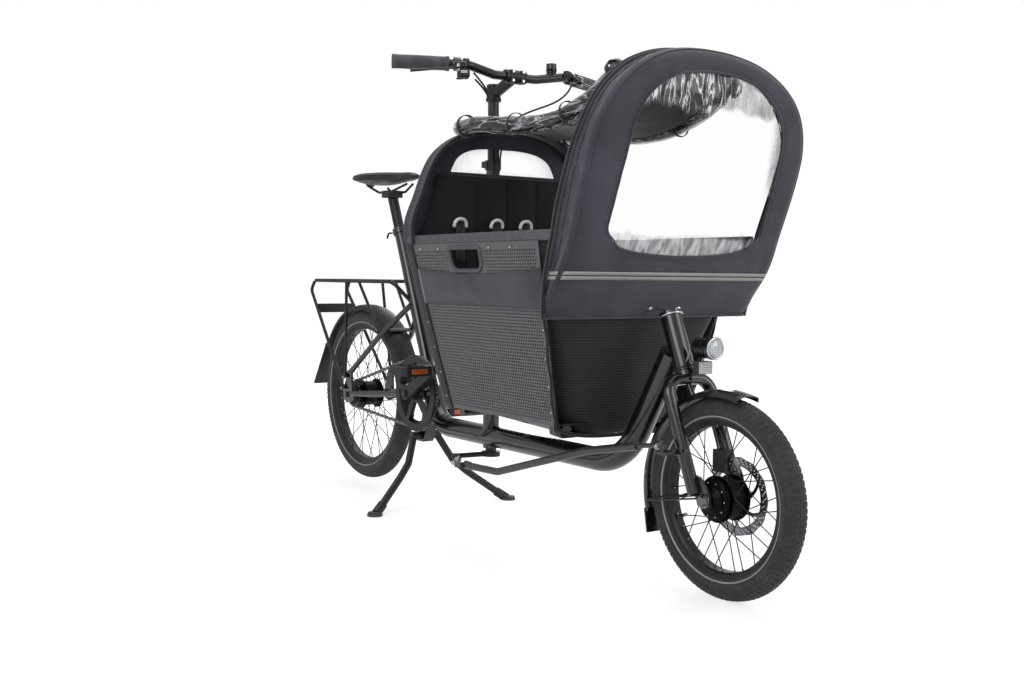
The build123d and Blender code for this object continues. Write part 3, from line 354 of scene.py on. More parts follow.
@dataclass(frozen=True)
class Metal(Finish):
    """Bare, plated or anodised metal, brushed along an axis."""

    brush: Point = (1, 1, 12)

    def shade(self, g: Graph) -> None:
        """Brush lines in the roughness and a faint tarnish in the colour."""
        lines = g.noise(1800, 2, self.brush)
        dark = tone(self.color, 0.7)
        g.dress(Base_Color=g.blend(g.span(g.noise(70), 0.35, 0.7), dark, self.color), Metallic=1.0,
                Roughness=g.span(lines, 0.3, 0.7, self.roughness - 0.08, self.roughness + 0.1),
                Normal=g.bump(lines, 0.00004, 0.3))


@dataclass(frozen=True)
class Rubber(Finish):
    """Tyre and grip rubber: dull, with a fine dusty bloom."""

    def shade(self, g: Graph) -> None:
        """Dull bloom and fine pits."""
        bloom = tone(self.color, 1.7, 0.004)
        g.dress(Base_Color=g.blend(g.span(g.noise(35, 5), 0.4, 0.75), self.color, bloom), Sheen_Weight=0.15,
                Sheen_Roughness=0.5, Roughness=g.span(g.noise(120), 0.3, 0.7, self.roughness - 0.08,
                self.roughness + 0.08), Normal=g.bump(g.noise(1400, 4), 0.0002, 0.4))


@dataclass(frozen=True)
class Weave(Finish):
    """Coated woven cloth: crossed threads, soft rumples and a little fuzz."""

    pitch: float = 0.0013
    rumple: float = 0.0012
    fuzz: float = 0.3
    along: tuple[str, str] = ("X", "Z")

    def shade(self, g: Graph) -> None:
        """Threads both ways, broad creases, colour that varies at random, and painted shade between the threads."""
        warp = g.wave(self.pitch, self.along[0], 0.4)
        weft = g.wave(self.pitch, self.along[1], 0.4)
        threads = g.math("MULTIPLY", warp, weft)
        crease = g.noise(16, 4, (1, 1.6, 1), 0.6)
        lit = tone(self.color, 1.45, 0.004)
        dim = tone(self.color, 0.72)
        dye_and_shade = g.blend(g.span(g.noise(9, 4), 0.3, 0.7), dim, lit)
        # painted shade: the cloth is darkened where the thread pattern dips, between the threads
        dye_and_shade = g.blend(g.span(threads, 0.0, 0.6, 0.35, 0), dye_and_shade, tone(self.color, 0.45))
        broad = g.bump(crease, self.rumple, 0.5)
        g.dress(Base_Color=dye_and_shade, Roughness=self.roughness, Sheen_Weight=self.fuzz, Sheen_Roughness=0.45,
                Normal=g.bump(threads, 0.0002, 0.5, broad))


@dataclass(frozen=True)
class RibbedMesh(Finish):
    """Ribbed open-mesh cloth: rows of small dark windows between ribs."""

    pitch: float = 0.0062

    def shade(self, g: Graph) -> None:
        """Rows of ribs with finer crosswise threads between them, the ribs painted light as if lit and the windows
        painted dark with the shade seen through them.
        """
        rows = g.wave(self.pitch, "Z", 0.2)
        posts = g.wave(self.pitch * 0.8, "Y", 0.2)
        grid = g.math("MAXIMUM", g.span(rows, 0.45, 0.8), g.math("MULTIPLY", g.span(posts, 0.5, 0.9), 0.6))
        # painted light and shade: ribs lifted to 1.9 times the cloth's colour, windows darkened to 0.35 times it
        lit = tone(self.color, 1.9, 0.01)
        dye_and_shade = g.blend(grid, tone(self.color, 0.35), lit)
        dye_and_shade = g.blend(g.span(g.noise(14, 4), 0.35, 0.75, 0, 0.5), dye_and_shade, self.color)
        broad = g.bump(g.noise(11, 3), 0.002, 0.4)
        g.dress(Base_Color=dye_and_shade, Roughness=self.roughness, Sheen_Weight=0.25, Sheen_Roughness=0.4,
                Normal=g.bump(grid, 0.0006, 0.7, broad))


@dataclass(frozen=True)
class Foil(Finish):
    """Clear flexible foil; the attributes 'crinkle' and 'milk' say where it is wrinkled and where it is cloudy."""

    clear: float = 0.02
    # body: alpha of the painted dark reflection where wrinkled; shine: alpha of the painted highlight streaks on the
    # folds
    body: float = 0.42
    shine: float = 0.5
    streaks: Point = (1, 1, 0.16)

    def shade(self, g: Graph) -> None:
        """Nearly clear where smooth; where wrinkled, a painted dark reflection with painted highlight streaks along the
        folds; pale where cloudy.
        """
        crinkle = g.add("ShaderNodeAttribute", attribute_name="crinkle").outputs["Fac"]
        milk = g.add("ShaderNodeAttribute", attribute_name="milk").outputs["Fac"]
        streak = g.noise(46, 4, self.streaks, 1.2)
        fold = g.span(g.math("ABSOLUTE", g.math("SUBTRACT", streak, 0.5)), 0.0, 0.035, 1, 0)
        # painted reflection: dark foil colour, with bright painted highlight streaks where the fold mask is high
        glint = g.blend(fold, srgb(38, 39, 42), srgb(226, 228, 232))
        pale = g.blend(g.span(streak, 0.4, 0.6), srgb(150, 150, 156), srgb(236, 236, 240))
        # where the painted dark reflection covers the wrinkled foil: the crinkle mask broken up by noise
        wear_and_painted_reflection = g.math("MULTIPLY", crinkle, g.span(g.noise(26, 3, (1, 1, 0.4), 0.8), 0.25, 0.6, 0.45, 1))
        alpha = g.math("MAXIMUM", g.math("MULTIPLY", wear_and_painted_reflection, self.body), g.math("MULTIPLY", milk, 0.66))
        alpha = g.math("ADD", alpha, g.math("MULTIPLY", fold, g.math("MULTIPLY", crinkle, self.shine)))
        g.dress(Base_Color=g.blend(milk, glint, pale), Roughness=self.roughness,
                Alpha=g.math("MINIMUM", g.math("ADD", alpha, self.clear), 1.0), IOR=1.5, Coat_Weight=0.6,
                Coat_Roughness=0.08, Normal=g.bump(streak, 0.003, 0.5))


@dataclass(frozen=True)
class Clear(Finish):
    """Hard clear or tinted lens plastic."""

    facet: float = 0.004

    def shade(self, g: Graph) -> None:
        """Moulded prisms seen through a smooth face."""
        prism = g.math("MULTIPLY", g.wave(self.facet, "Y"), g.wave(self.facet, "Z"))
        g.dress(Base_Color=g.blend(prism, tone(self.color, 0.55), self.color),
                Roughness=self.roughness, Coat_Weight=1.0, Coat_Roughness=0.03, Metallic=0.25,
                Normal=g.bump(prism, 0.0008, 0.5))


@dataclass(frozen=True)
class Reflective(Finish):
    """Reflective tape: pale grey with fine glass-bead sparkle."""

    def shade(self, g: Graph) -> None:
        """Bead grain in the colour and roughness."""
        bead = g.cells(1800)
        g.dress(Base_Color=g.blend(g.span(bead, 0.1, 0.7), tone(self.color, 0.7), self.color),
                Roughness=g.span(bead, 0.1, 0.7, 0.3, 0.6), Metallic=0.2, Normal=g.bump(bead, 0.0001, 0.5))


GLOSS = Paint("gloss_black_paint", srgb(9, 9, 10), 0.28, coat=0.9)
SATIN = Paint("satin_black_coat", srgb(17, 17, 18), 0.45, grain=1100)
COLUMN = Paint("column_black_coat", srgb(20, 20, 22), 0.38, coat=0.2)
STAND = Paint("stand_dark_coat", srgb(32, 32, 34), 0.4, grain=900)
RODGREY = Paint("rod_graphite_coat", srgb(52, 53, 56), 0.36, coat=0.3)
PANEL = Paint("panel_grey_coat", srgb(84, 86, 89), 0.42, grain=900)
RAILGREY = Paint("rail_grey_coat", srgb(74, 76, 80), 0.5, grain=1400)
PLASTIC = Finish("black_moulded_plastic", srgb(22, 22, 23), 0.5)
GLOSSPLASTIC = Paint("black_gloss_plastic", srgb(12, 12, 13), 0.22, coat=0.6)
STEEL = Metal("bright_steel", srgb(196, 198, 202), 0.28)
DARKSTEEL = Metal("dark_steel", srgb(88, 88, 92), 0.38)
SPOKE = Metal("black_steel_wire", srgb(60, 60, 63), 0.35)
HUB = Metal("anodised_black", srgb(30, 30, 32), 0.4)
DISC = Metal("brake_disc_steel", srgb(150, 152, 157), 0.3)
SILVERRING = Metal("silver_ring", srgb(216, 218, 222), 0.22)
BLUERING = Paint("blue_anodised", srgb(30, 90, 190), 0.35, coat=0.5)
TYRE = Rubber("tyre_rubber", srgb(37, 37, 39), 0.72)
GRIP = Rubber("grip_rubber", srgb(58, 58, 61), 0.66)
HOSE = Rubber("cable_housing", srgb(20, 20, 21), 0.5)
SADDLE = Weave("saddle_cover", srgb(30, 30, 32), 0.48, pitch=0.004, rumple=0.0004, fuzz=0.1, along=("X", "Y"))
NAVY = Weave("navy_canvas", srgb(50, 52, 62), 0.78)
BAND = Weave("band_canvas", srgb(52, 54, 64), 0.72)
BLACKCLOTH = Weave("black_canvas", srgb(19, 19, 21), 0.85, pitch=0.0016)
SEATCLOTH = Weave("seat_cloth", srgb(16, 16, 17), 0.9, pitch=0.002, rumple=0.002)
WEB = Weave("webbing", srgb(24, 24, 26), 0.7, pitch=0.0022, rumple=0.0002)
MESHCLOTH = RibbedMesh("ribbed_mesh_cloth", srgb(17, 17, 18), 0.8)
FOIL = Foil("clear_foil", srgb(220, 222, 225), 0.12, body=0.72)
ROLLFOIL = Foil("rolled_foil", srgb(180, 182, 186), 0.1, clear=0.34, body=0.4, shine=0.22, streaks=(0.12, 1, 1))
TAPE = Reflective("reflective_tape", srgb(160, 159, 155), 0.5)
SIDESTRIPE = Reflective("tyre_stripe", srgb(158, 159, 160), 0.5)
WHITERING = Finish("white_plastic", srgb(232, 232, 230), 0.35)
LENS = Clear("headlamp_lens", srgb(222, 226, 230), 0.08)
PRISM = Clear("clear_reflector", srgb(205, 208, 212), 0.12)
AMBER = Clear("amber_reflector", srgb(230, 110, 25), 0.15)
RED = Clear("red_reflector", srgb(150, 14, 16), 0.15)

NODE_FINISH: dict[str, Finish] = {
    "main_tube": GLOSS, "head_tube": GLOSS, "seat_tube": GLOSS, "seat_post": SATIN, "saddle": SADDLE,
    "chain_stays": GLOSS, "seat_stays": GLOSS, "rack_top": SATIN, "rack_legs": SATIN, "light_plate": PLASTIC,
    "rear_mudguard": PLASTIC, "box_frame": GLOSS, "box_floor": PLASTIC, "side_panels": PANEL,
    "side_bands": BAND, "top_rails": RAILGREY, "rear_wall": BLACKCLOTH, "front_mesh": MESHCLOTH,
    "seat_back": SEATCLOTH, "seat_cushion": SEATCLOTH, "canopy_rear": NAVY, "rear_window": FOIL,
    "canopy_front": NAVY, "front_window": FOIL, "roof_strip": BLACKCLOTH, "foil_roll_right": ROLLFOIL,
    "foil_roll_left": ROLLFOIL, "chain": DARKSTEEL, "column": COLUMN, "steering_arm": SATIN, "stem": SATIN,
    "handlebar": COLUMN, "grips": GRIP, "controls": PLASTIC, "bell": GLOSSPLASTIC, "bar_cables": HOSE,
    "frame_cables": HOSE,
    "rod_swivel": STEEL, "tie_rod": RODGREY, "fork": GLOSS, "front_mudguard": GLOSSPLASTIC,
    "headlamp": GLOSSPLASTIC, "caliper": SATIN, "front_tyre": TYRE, "front_rim": SATIN, "front_spokes": SPOKE,
    "front_hub": HUB, "rotor": STEEL, "rear_tyre": TYRE, "rear_rim": SATIN, "rear_spokes": SPOKE,
    "rear_hub": HUB, "chainring": SATIN, "cranks": SATIN, "pedal_right": PLASTIC, "pedal_left": PLASTIC,
    "stand": STAND,
}


# ---------------------------------------------------------------- mesh building
def piece(name: str, points: Sequence[Point], faces: Sequence[Sequence[int]], finish: Finish,
          body: str | None = "frame", smooth: bool = True, weld: bool = False) -> bpy.types.Object:
    """A mesh object at the origin, finished and riding on a body.

    Args:
        name: the piece's name.
        points: its corners in the row frame, in metres.
        faces: corner numbers of each face.
        finish: what it is made of.
        body: the CAD body it moves with, or None to leave it free for now.
        smooth: whether its faces shade smoothly.
        weld: whether doubled corners are merged and the normals made to point outwards.
    Returns:
        The object.
    """
    mesh = bpy.data.meshes.new(name)
    mesh.from_pydata([tuple(p) for p in points], [], [tuple(f) for f in faces])
    if weld:
        turn_out(mesh)
    return settle(name, mesh, finish, body, smooth)


def settle(name: str, mesh: bpy.types.Mesh, finish: Finish, body: str | None = "frame",
           smooth: bool = True) -> bpy.types.Object:
    """Makes an object of a finished mesh, gives it its material and lets it ride.

    Args:
        name: the object's name.
        mesh: its mesh.
        finish: what it is made of.
        body: the CAD body it moves with, or None.
        smooth: whether its faces shade smoothly.
    Returns:
        The object.
    """
    for polygon in mesh.polygons:
        polygon.use_smooth = smooth
    mesh.materials.clear()
    mesh.materials.append(finish.material())
    made = bpy.data.objects.new(name, mesh)
    bpy.context.scene.collection.objects.link(made)
    if body:
        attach(made, body)
    return made


def turn_out(mesh: bpy.types.Mesh, reach: float = 1e-6) -> None:
    """Merges doubled corners and points the faces outwards.

    Args:
        mesh: the mesh to mend.
        reach: how near two corners are to be one.
    """
    work = bmesh.new()
    work.from_mesh(mesh)
    bmesh.ops.remove_doubles(work, verts=work.verts, dist=reach)
    bmesh.ops.recalc_face_normals(work, faces=work.faces)
    work.to_mesh(mesh)
    work.free()


def baked(made: bpy.types.Object) -> bpy.types.Object:
    """Turns an object's live modifiers into its plain mesh.

    Args:
        made: the object.
    Returns:
        The same object.
    """
    bpy.context.view_layer.update()
    graph = bpy.context.evaluated_depsgraph_get()
    mesh = bpy.data.meshes.new_from_object(made.evaluated_get(graph))
    made.modifiers.clear()
    made.data = mesh
    return made


def mark(made: bpy.types.Object, **layers: Sequence[float]) -> None:
    """Writes one number for each point under each name, which a foil's finish reads."""
    for label, values in layers.items():
        made.data.attributes.new(label, "FLOAT", "POINT").data.foreach_set("value", values)


def thick(made: bpy.types.Object, wall: float, offset: float = -1, levels: int = 0) -> bpy.types.Object:
    """Gives a sheet its thickness and, if asked, a subdivided surface.

    Args:
        made: the sheet.
        wall: thickness in metres.
        offset: -1 grows it inwards, 0 both ways, 1 outwards.
        levels: subdivision levels.
    Returns:
        The same object, with plain mesh.
    """
    if levels:
        sub = made.modifiers.new("smooth", "SUBSURF")
        sub.levels = sub.render_levels = levels
    solid = made.modifiers.new("wall", "SOLIDIFY")
    solid.thickness = wall
    solid.offset = offset
    solid.use_even_offset = False
    return baked(made)


def sheet(name: str, points: Sequence[Point], faces: Sequence[Sequence[int]], finish: Finish, wall: float,
          offset: float = -1, weld: bool = True, levels: int = 0, body: str = "frame") -> bpy.types.Object:
    """A sheet with its thickness, riding on a body.

    Args:
        name: the piece's name.
        points, faces: its middle or outer surface.
        finish: what it is made of.
        wall: thickness in metres.
        offset: -1 grows it inwards, 0 both ways, 1 outwards.
        weld: whether doubled corners are merged and the normals made to point outwards.
        levels: subdivision levels.
        body: the CAD body it moves with.
    Returns:
        The object.
    """
    made = thick(piece(name, points, faces, finish, None, weld=weld), wall, offset, levels)
    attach(made, body)
    return made


def swollen(made: bpy.types.Object, held: Callable[[Vector], bool], voxel: float = 0.005,
            reach: float = 0.006) -> bpy.types.Object:
    """Swells a closed pad by simulating its cover as cloth under pressure.

    Args:
        made: the closed pad, a little smaller than it should end.
        held: tells which places stay, such as seams and the side that lies on something.
        voxel: the size of the remeshed faces.
        reach: the farthest that a point may move.
    """
    shell = made.modifiers.new("voxels", "REMESH")
    shell.mode = "VOXEL"
    shell.voxel_size = voxel
    baked(made)
    start = [v.co.copy() for v in made.data.vertices]
    pins = made.vertex_groups.new(name="held")
    pins.add([i for i, p in enumerate(start) if held(p)], 1.0, "REPLACE")
    cloth = made.modifiers.new("swell", "CLOTH")
    cloth.settings.use_pressure = True
    cloth.settings.uniform_pressure_force = SWELL_PRESSURE
    cloth.settings.effector_weights.gravity = 0
    cloth.settings.vertex_group_mass = "held"
    cloth.settings.quality = 5
    scene = bpy.context.scene
    for step in range(1, SWELL_STEPS + 1):
        scene.frame_set(step)
    end = [v.co.copy() for v in made.evaluated_get(bpy.context.evaluated_depsgraph_get()).data.vertices]
    made.modifiers.clear()
    made.vertex_groups.clear()
    scene.frame_set(1)
    farthest = max((b - a).length for a, b in zip(start, end))
    for vertex, a, b in zip(made.data.vertices, start, end):
        move = b - a
        vertex.co = a + move * min(1.0, reach / max(move.length, 1e-9))
    LOG.info("%s swelled by up to %.1f mm, held at %.1f mm", made.name, farthest * 1000, reach * 1000)
    for polygon in made.data.polygons:
        polygon.use_smooth = True
    smooth = made.modifiers.new("smooth", "SUBSURF")
    smooth.levels = smooth.render_levels = 1
    return baked(made)


def spline(points: Sequence[Point], per: int = 8, closed: bool = False) -> list[Vector]:
    """A smooth line through given points.

    Args:
        points: the points it passes through.
        per: how many steps each stretch gets.
        closed: whether it comes back to its start.
    Returns:
        Points along the line.
    """
    pts = [Vector(p) for p in points]
    count = len(pts)
    line = []
    for i in range(count if closed else count - 1):
        p0 = pts[(i - 1) % count] if closed or i else pts[0] * 2 - pts[1]
        p1, p2 = pts[i], pts[(i + 1) % count]
        p3 = pts[(i + 2) % count] if closed or i < count - 2 else pts[-1] * 2 - pts[-2]
        for k in range(per):
            t = k / per
            line.append(0.5 * (2 * p1 + (p2 - p0) * t + (2 * p0 - 5 * p1 + 4 * p2 - p3) * t * t
                               + (3 * p1 - p0 - 3 * p2 + p3) * t ** 3))
    return line if closed else line + [pts[-1].copy()]


def side_line(marks: Sequence[Point], side: int, per: int) -> list[Vector]:
    """A smooth line through places that are given for the left side, on either side.

    Args:
        marks: the places in millimetres, as for at().
        side: 1 for left, -1 for right.
        per: how many steps each stretch gets.
    Returns:
        Points along the line.
    """
    return spline([at(x, side * y, z) for x, y, z in marks], per)


def frames(line: Sequence[Vector], up: Point = (0, 0, 1)) -> list[tuple[Vector, Vector, Vector]]:
    """Along, side and up directions at each point of a line, without twist.

    Args:
        line: the points.
        up: roughly upwards.
    Returns:
        The three directions at each point.
    """
    made = []
    side = None
    for i in range(len(line)):
        along = (line[min(i + 1, len(line) - 1)] - line[max(i - 1, 0)]).normalized()
        if side is None:
            side = along.cross(Vector(up))
            side = side if side.length > 1e-4 else along.cross(AHEAD)
        side = (side - along * side.dot(along)).normalized()
        made.append((along, side, side.cross(along)))
    return made


def loft(rows: Sequence[Sequence[Vector]], around: bool = False, caps: bool = False,
         ) -> tuple[list[Vector], list[list[int]]]:
    """Points and faces of a grid of rows.

    Args:
        rows: lines of equally many points.
        around: whether each row closes on itself.
        caps: whether the first and last rows are filled.
    Returns:
        All points, and all faces.
    """
    n = len(rows[0])
    faces = []
    for i in range(len(rows) - 1):
        for k in range(n if around else n - 1):
            a, b = i * n + k, i * n + (k + 1) % n
            faces.append([a, b, b + n, a + n])
    if caps:
        faces.append(list(range(n))[::-1])
        faces.append([(len(rows) - 1) * n + k for k in range(n)])
    return [p for row in rows for p in row], faces


def carry_on(points: list[Vector], faces: list[list[int]], edge: Sequence[int],
             rows: Sequence[Sequence[Vector]]) -> None:
    """Carries a sheet on from one of its edges, row by row.

    Args:
        points, faces: the sheet so far, which grow.
        edge: the numbers of the edge's points.
        rows: the further rows, each with as many points as the edge.
    """
    for row in rows:
        here = range(len(points), len(points) + len(row))
        points += row
        faces += [[edge[k], edge[k + 1], here[k + 1], here[k]] for k in range(len(row) - 1)]
        edge = here


def tube(name: str, line: Sequence[Point], radius: float | Callable[[float], float], finish: Finish,
         body: str = "frame", sides: int = 12, flat: float = 1.0, up: Point = (0, 0, 1)) -> bpy.types.Object:
    """A round or flattened tube along a line, with closed ends.

    Args:
        name: the piece's name.
        line: points along its middle.
        radius: in metres, or a function of the share of the way along.
        finish: what it is made of.
        body: the CAD body it moves with.
        sides: faces round it.
        flat: its height over its width.
        up: roughly its height's direction.
    Returns:
        The object.
    """
    line = [Vector(p) for p in line]
    rows = []
    for i, (p, (_, side, top)) in enumerate(zip(line, frames(line, up))):
        r = radius(i / (len(line) - 1)) if callable(radius) else radius
        rows.append([p + side * math.cos(a) * r + top * math.sin(a) * r * flat for a in circle(sides)])
    points, faces = loft(rows, True, True)
    return piece(name, points, faces, finish, body, weld=True)


def turned(name: str, profile: Sequence[tuple[float, float]], foot: Point, axis: Point, finish: Finish,
           body: str = "frame", sides: int = 32, smooth: bool = True) -> bpy.types.Object:
    """A solid of revolution.

    Args:
        name: the piece's name.
        profile: (distance along the axis, radius) pairs in metres, ends on the axis or closed on themselves.
        foot: where the axis starts.
        axis: its direction.
        finish: what it is made of.
        body: the CAD body it moves with.
        sides: faces round it.
        smooth: whether it shades smoothly.
    Returns:
        The object.
    """
    along = Vector(axis).normalized()
    side = along.orthogonal().normalized()
    other = along.cross(side)
    rows = [[Vector(foot) + along * h + (side * math.cos(a) + other * math.sin(a)) * r
             for a in circle(sides)] for h, r in profile]
    points, faces = loft(rows, True)
    return piece(name, points, faces, finish, body, smooth, weld=True)


def block(name: str, middle: Point, size: Point, finish: Finish, body: str = "frame", bevel: float = 0.001,
          turn: Matrix | None = None, segments: int = 2) -> bpy.types.Object:
    """A box with rounded edges.

    Args:
        name: the piece's name.
        middle, size: its centre and its sides in metres.
        finish: what it is made of.
        body: the CAD body it moves with.
        bevel: the radius of its edges.
        turn: a rotation about its middle.
        segments: steps round each edge.
    Returns:
        The object.
    """
    work = bmesh.new()
    bmesh.ops.create_cube(work, size=1)
    bmesh.ops.scale(work, vec=Vector(size), verts=work.verts)
    bmesh.ops.bevel(work, geom=work.edges[:], offset=bevel, segments=segments, profile=0.6, affect="EDGES")
    if turn is not None:
        bmesh.ops.transform(work, matrix=turn.to_4x4(), verts=work.verts)
    bmesh.ops.translate(work, vec=Vector(middle), verts=work.verts)
    mesh = bpy.data.meshes.new(name)
    work.to_mesh(mesh)
    work.free()
    return settle(name, mesh, finish, body)


def mirrored(made: bpy.types.Object, name: str, body: str | None = None) -> bpy.types.Object:
    """A copy of a piece on the other side of the bike's middle plane.

    Args:
        made: the piece to copy.
        name: the copy's name.
        body: its CAD body, or None for the same one.
    Returns:
        The copy.
    """
    mesh = made.data.copy()
    mesh.transform(Matrix.Scale(-1, 4, (0, 1, 0)))
    mesh.flip_normals()
    copy = bpy.data.objects.new(name, mesh)
    bpy.context.scene.collection.objects.link(copy)
    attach(copy, body or made["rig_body"])
    return copy


def plane(origin: Point, x_dir: Point, normal: Point) -> Matrix:
    """The matrix that puts flat work, drawn in x and y, onto a plane.

    Args:
        origin: where its zero goes.
        x_dir: where its x points, roughly.
        normal: where its z points.
    Returns:
        A 4x4 matrix.
    """
    z = Vector(normal).normalized()
    x = Vector(x_dir)
    x = (x - z * x.dot(z)).normalized()
    m = Matrix((x, z.cross(x), z)).transposed().to_4x4()
    m.translation = Vector(origin)
    return m


# ---------------------------------------------------------------- geometry nodes
class Nodes:
    """A Geometry Nodes tree under construction, with named inputs."""

    def __init__(self, name: str) -> None:
        """Starts a tree that takes and gives a geometry.

        Args:
            name: the tree's name.
        """
        self.tree = bpy.data.node_groups.new(name, "GeometryNodeTree")
        self.tree.interface.new_socket("Geometry", in_out="INPUT", socket_type="NodeSocketGeometry")
        self.tree.interface.new_socket("Geometry", in_out="OUTPUT", socket_type="NodeSocketGeometry")
        self.ids: dict[str, str] = {}
        self.start = self.tree.nodes.new("NodeGroupInput")
        self.end = self.tree.nodes.new("NodeGroupOutput")

    def size(self, name: str, kind: str = "NodeSocketFloat") -> bpy.types.NodeSocket:
        """A named input of the tree.

        Args:
            name: the input's name.
            kind: its socket type.
        Returns:
            The socket inside the tree.
        """
        item = self.tree.interface.new_socket(name, in_out="INPUT", socket_type=kind)
        self.ids[name] = item.identifier
        return self.start.outputs[name]

    def add(self, kind: str, inputs: dict[str, object] | None = None, **settings: object) -> bpy.types.Node:
        """A node with its settings and inputs, each input a constant or a socket.

        Args:
            kind: the node's type name.
            inputs: values or sockets by input.
            settings: attributes of the node.
        Returns:
            The node.
        """
        node = self.tree.nodes.new(kind)
        for key, value in settings.items():
            setattr(node, key, value)
        for key, value in (inputs or {}).items():
            if isinstance(value, bpy.types.NodeSocket):
                self.tree.links.new(value, node.inputs[key])
            else:
                node.inputs[key].default_value = value
        return node

    def finish(self, geometry: bpy.types.NodeSocket) -> None:
        """Ends the tree in Realize Instances and Set Material.

        Args:
            geometry: the socket to end with.
        """
        real = self.add("GeometryNodeRealizeInstances", {"Geometry": geometry})
        dress = self.add("GeometryNodeSetMaterial", {"Geometry": real.outputs[0],
                                                     "Material": self.size("Material", "NodeSocketMaterial")})
        self.tree.links.new(dress.outputs[0], self.end.inputs[0])

    def run(self, base: bpy.types.Object, finish: Finish, **values: object) -> bpy.types.Mesh:
        """Runs the tree on an object.

        Args:
            base: the object whose mesh goes in; it is removed afterwards.
            finish: the material the tree sets.
            values: the named inputs, with _ for a space.
        Returns:
            The plain mesh that comes out.
        """
        modifier = base.modifiers.new("nodes", "NODES")
        modifier.node_group = self.tree
        modifier[self.ids["Material"]] = finish.material()
        for key, value in values.items():
            modifier[self.ids[key.replace("_", " ")]] = value
        bpy.context.view_layer.update()
        graph = bpy.context.evaluated_depsgraph_get()
        mesh = bpy.data.meshes.new_from_object(base.evaluated_get(graph))
        base.modifiers.remove(modifier)
        bpy.data.objects.remove(base)
        return mesh


class Unit(Enum):
    """What a Repeat copies to each of its points."""

    BRICK = "GeometryNodeMeshCube"
    PEG = "GeometryNodeMeshCylinder"
    BEAD = "GeometryNodeMeshUVSphere"
    LOOP = "GeometryNodeCurvePrimitiveCircle"


class Repeat:
    """Copies one small shape to many places, each with its own directions."""

    trees: dict[tuple[Unit, int], Nodes] = {}

    @classmethod
    def tree(cls, unit: Unit, sides: int) -> Nodes:
        """The tree for one shape, made once.

        Args:
            unit: the shape.
            sides: faces round it.
        Returns:
            The tree.
        """
        if (unit, sides) in cls.trees:
            return cls.trees[unit, sides]
        n = Nodes(f"repeat_{unit.name.lower()}_{sides}")
        size = n.size("Size", "NodeSocketVector")
        parts = n.add("ShaderNodeSeparateXYZ", {"Vector": size})
        if unit is Unit.BRICK:
            shape = n.add(unit.value, {"Size": size}).outputs["Mesh"]
        elif unit is Unit.PEG:
            shape = n.add(unit.value, {"Vertices": sides, "Radius": parts.outputs[0],
                                       "Depth": parts.outputs[2]}).outputs["Mesh"]
        elif unit is Unit.BEAD:
            shape = n.add(unit.value, {"Segments": sides, "Rings": max(4, sides // 2),
                                       "Radius": parts.outputs[0]}).outputs["Mesh"]
        else:
            ring = n.add(unit.value, {"Resolution": sides, "Radius": parts.outputs[0]})
            wire = n.add(unit.value, {"Resolution": 6, "Radius": parts.outputs[2]})
            shape = n.add("GeometryNodeCurveToMesh", {"Curve": ring.outputs[0],
                                                      "Profile Curve": wire.outputs[0]}).outputs[0]
        aim = n.add("GeometryNodeInputNamedAttribute", {"Name": "aim"}, data_type="FLOAT_VECTOR")
        run = n.add("GeometryNodeInputNamedAttribute", {"Name": "run"}, data_type="FLOAT_VECTOR")
        first = n.add("FunctionNodeAlignRotationToVector", {"Vector": aim.outputs[0]}, axis="Z")
        both = n.add("FunctionNodeAlignRotationToVector", {"Rotation": first.outputs[0],
                                                           "Vector": run.outputs[0]}, axis="X", pivot_axis="Z")
        copies = n.add("GeometryNodeInstanceOnPoints", {"Points": n.start.outputs[0], "Instance": shape,
                                                        "Rotation": both.outputs[0]})
        n.finish(copies.outputs[0])
        cls.trees[unit, sides] = n
        return n

    @classmethod
    def make(cls, name: str, spots: Sequence[tuple[Vector, Vector, Vector]], unit: Unit, size: Point,
             finish: Finish, body: str | None = "frame", sides: int = 8, smooth: bool = False) -> bpy.types.Object:
        """One object holding all the copies.

        Args:
            name: the piece's name.
            spots: place, outward direction and running direction of each copy.
            unit: the shape to copy.
            size: its size, x along the run and z outwards (a radius in x for round shapes).
            finish: what it is made of.
            body: the CAD body it moves with, or None.
            sides: faces round each copy.
            smooth: whether it shades smoothly.
        Returns:
            The object.
        """
        mesh = bpy.data.meshes.new(name + "_spots")
        mesh.from_pydata([tuple(p) for p, _, _ in spots], [], [])
        for label, k in (("aim", 1), ("run", 2)):
            layer = mesh.attributes.new(label, "FLOAT_VECTOR", "POINT")
            layer.data.foreach_set("vector", [c for spot in spots for c in spot[k]])
        base = bpy.data.objects.new(name + "_spots", mesh)
        bpy.context.scene.collection.objects.link(base)
        made = cls.tree(unit, sides).run(base, finish, Size=tuple(size))
        return settle(name, made, finish, body, smooth)


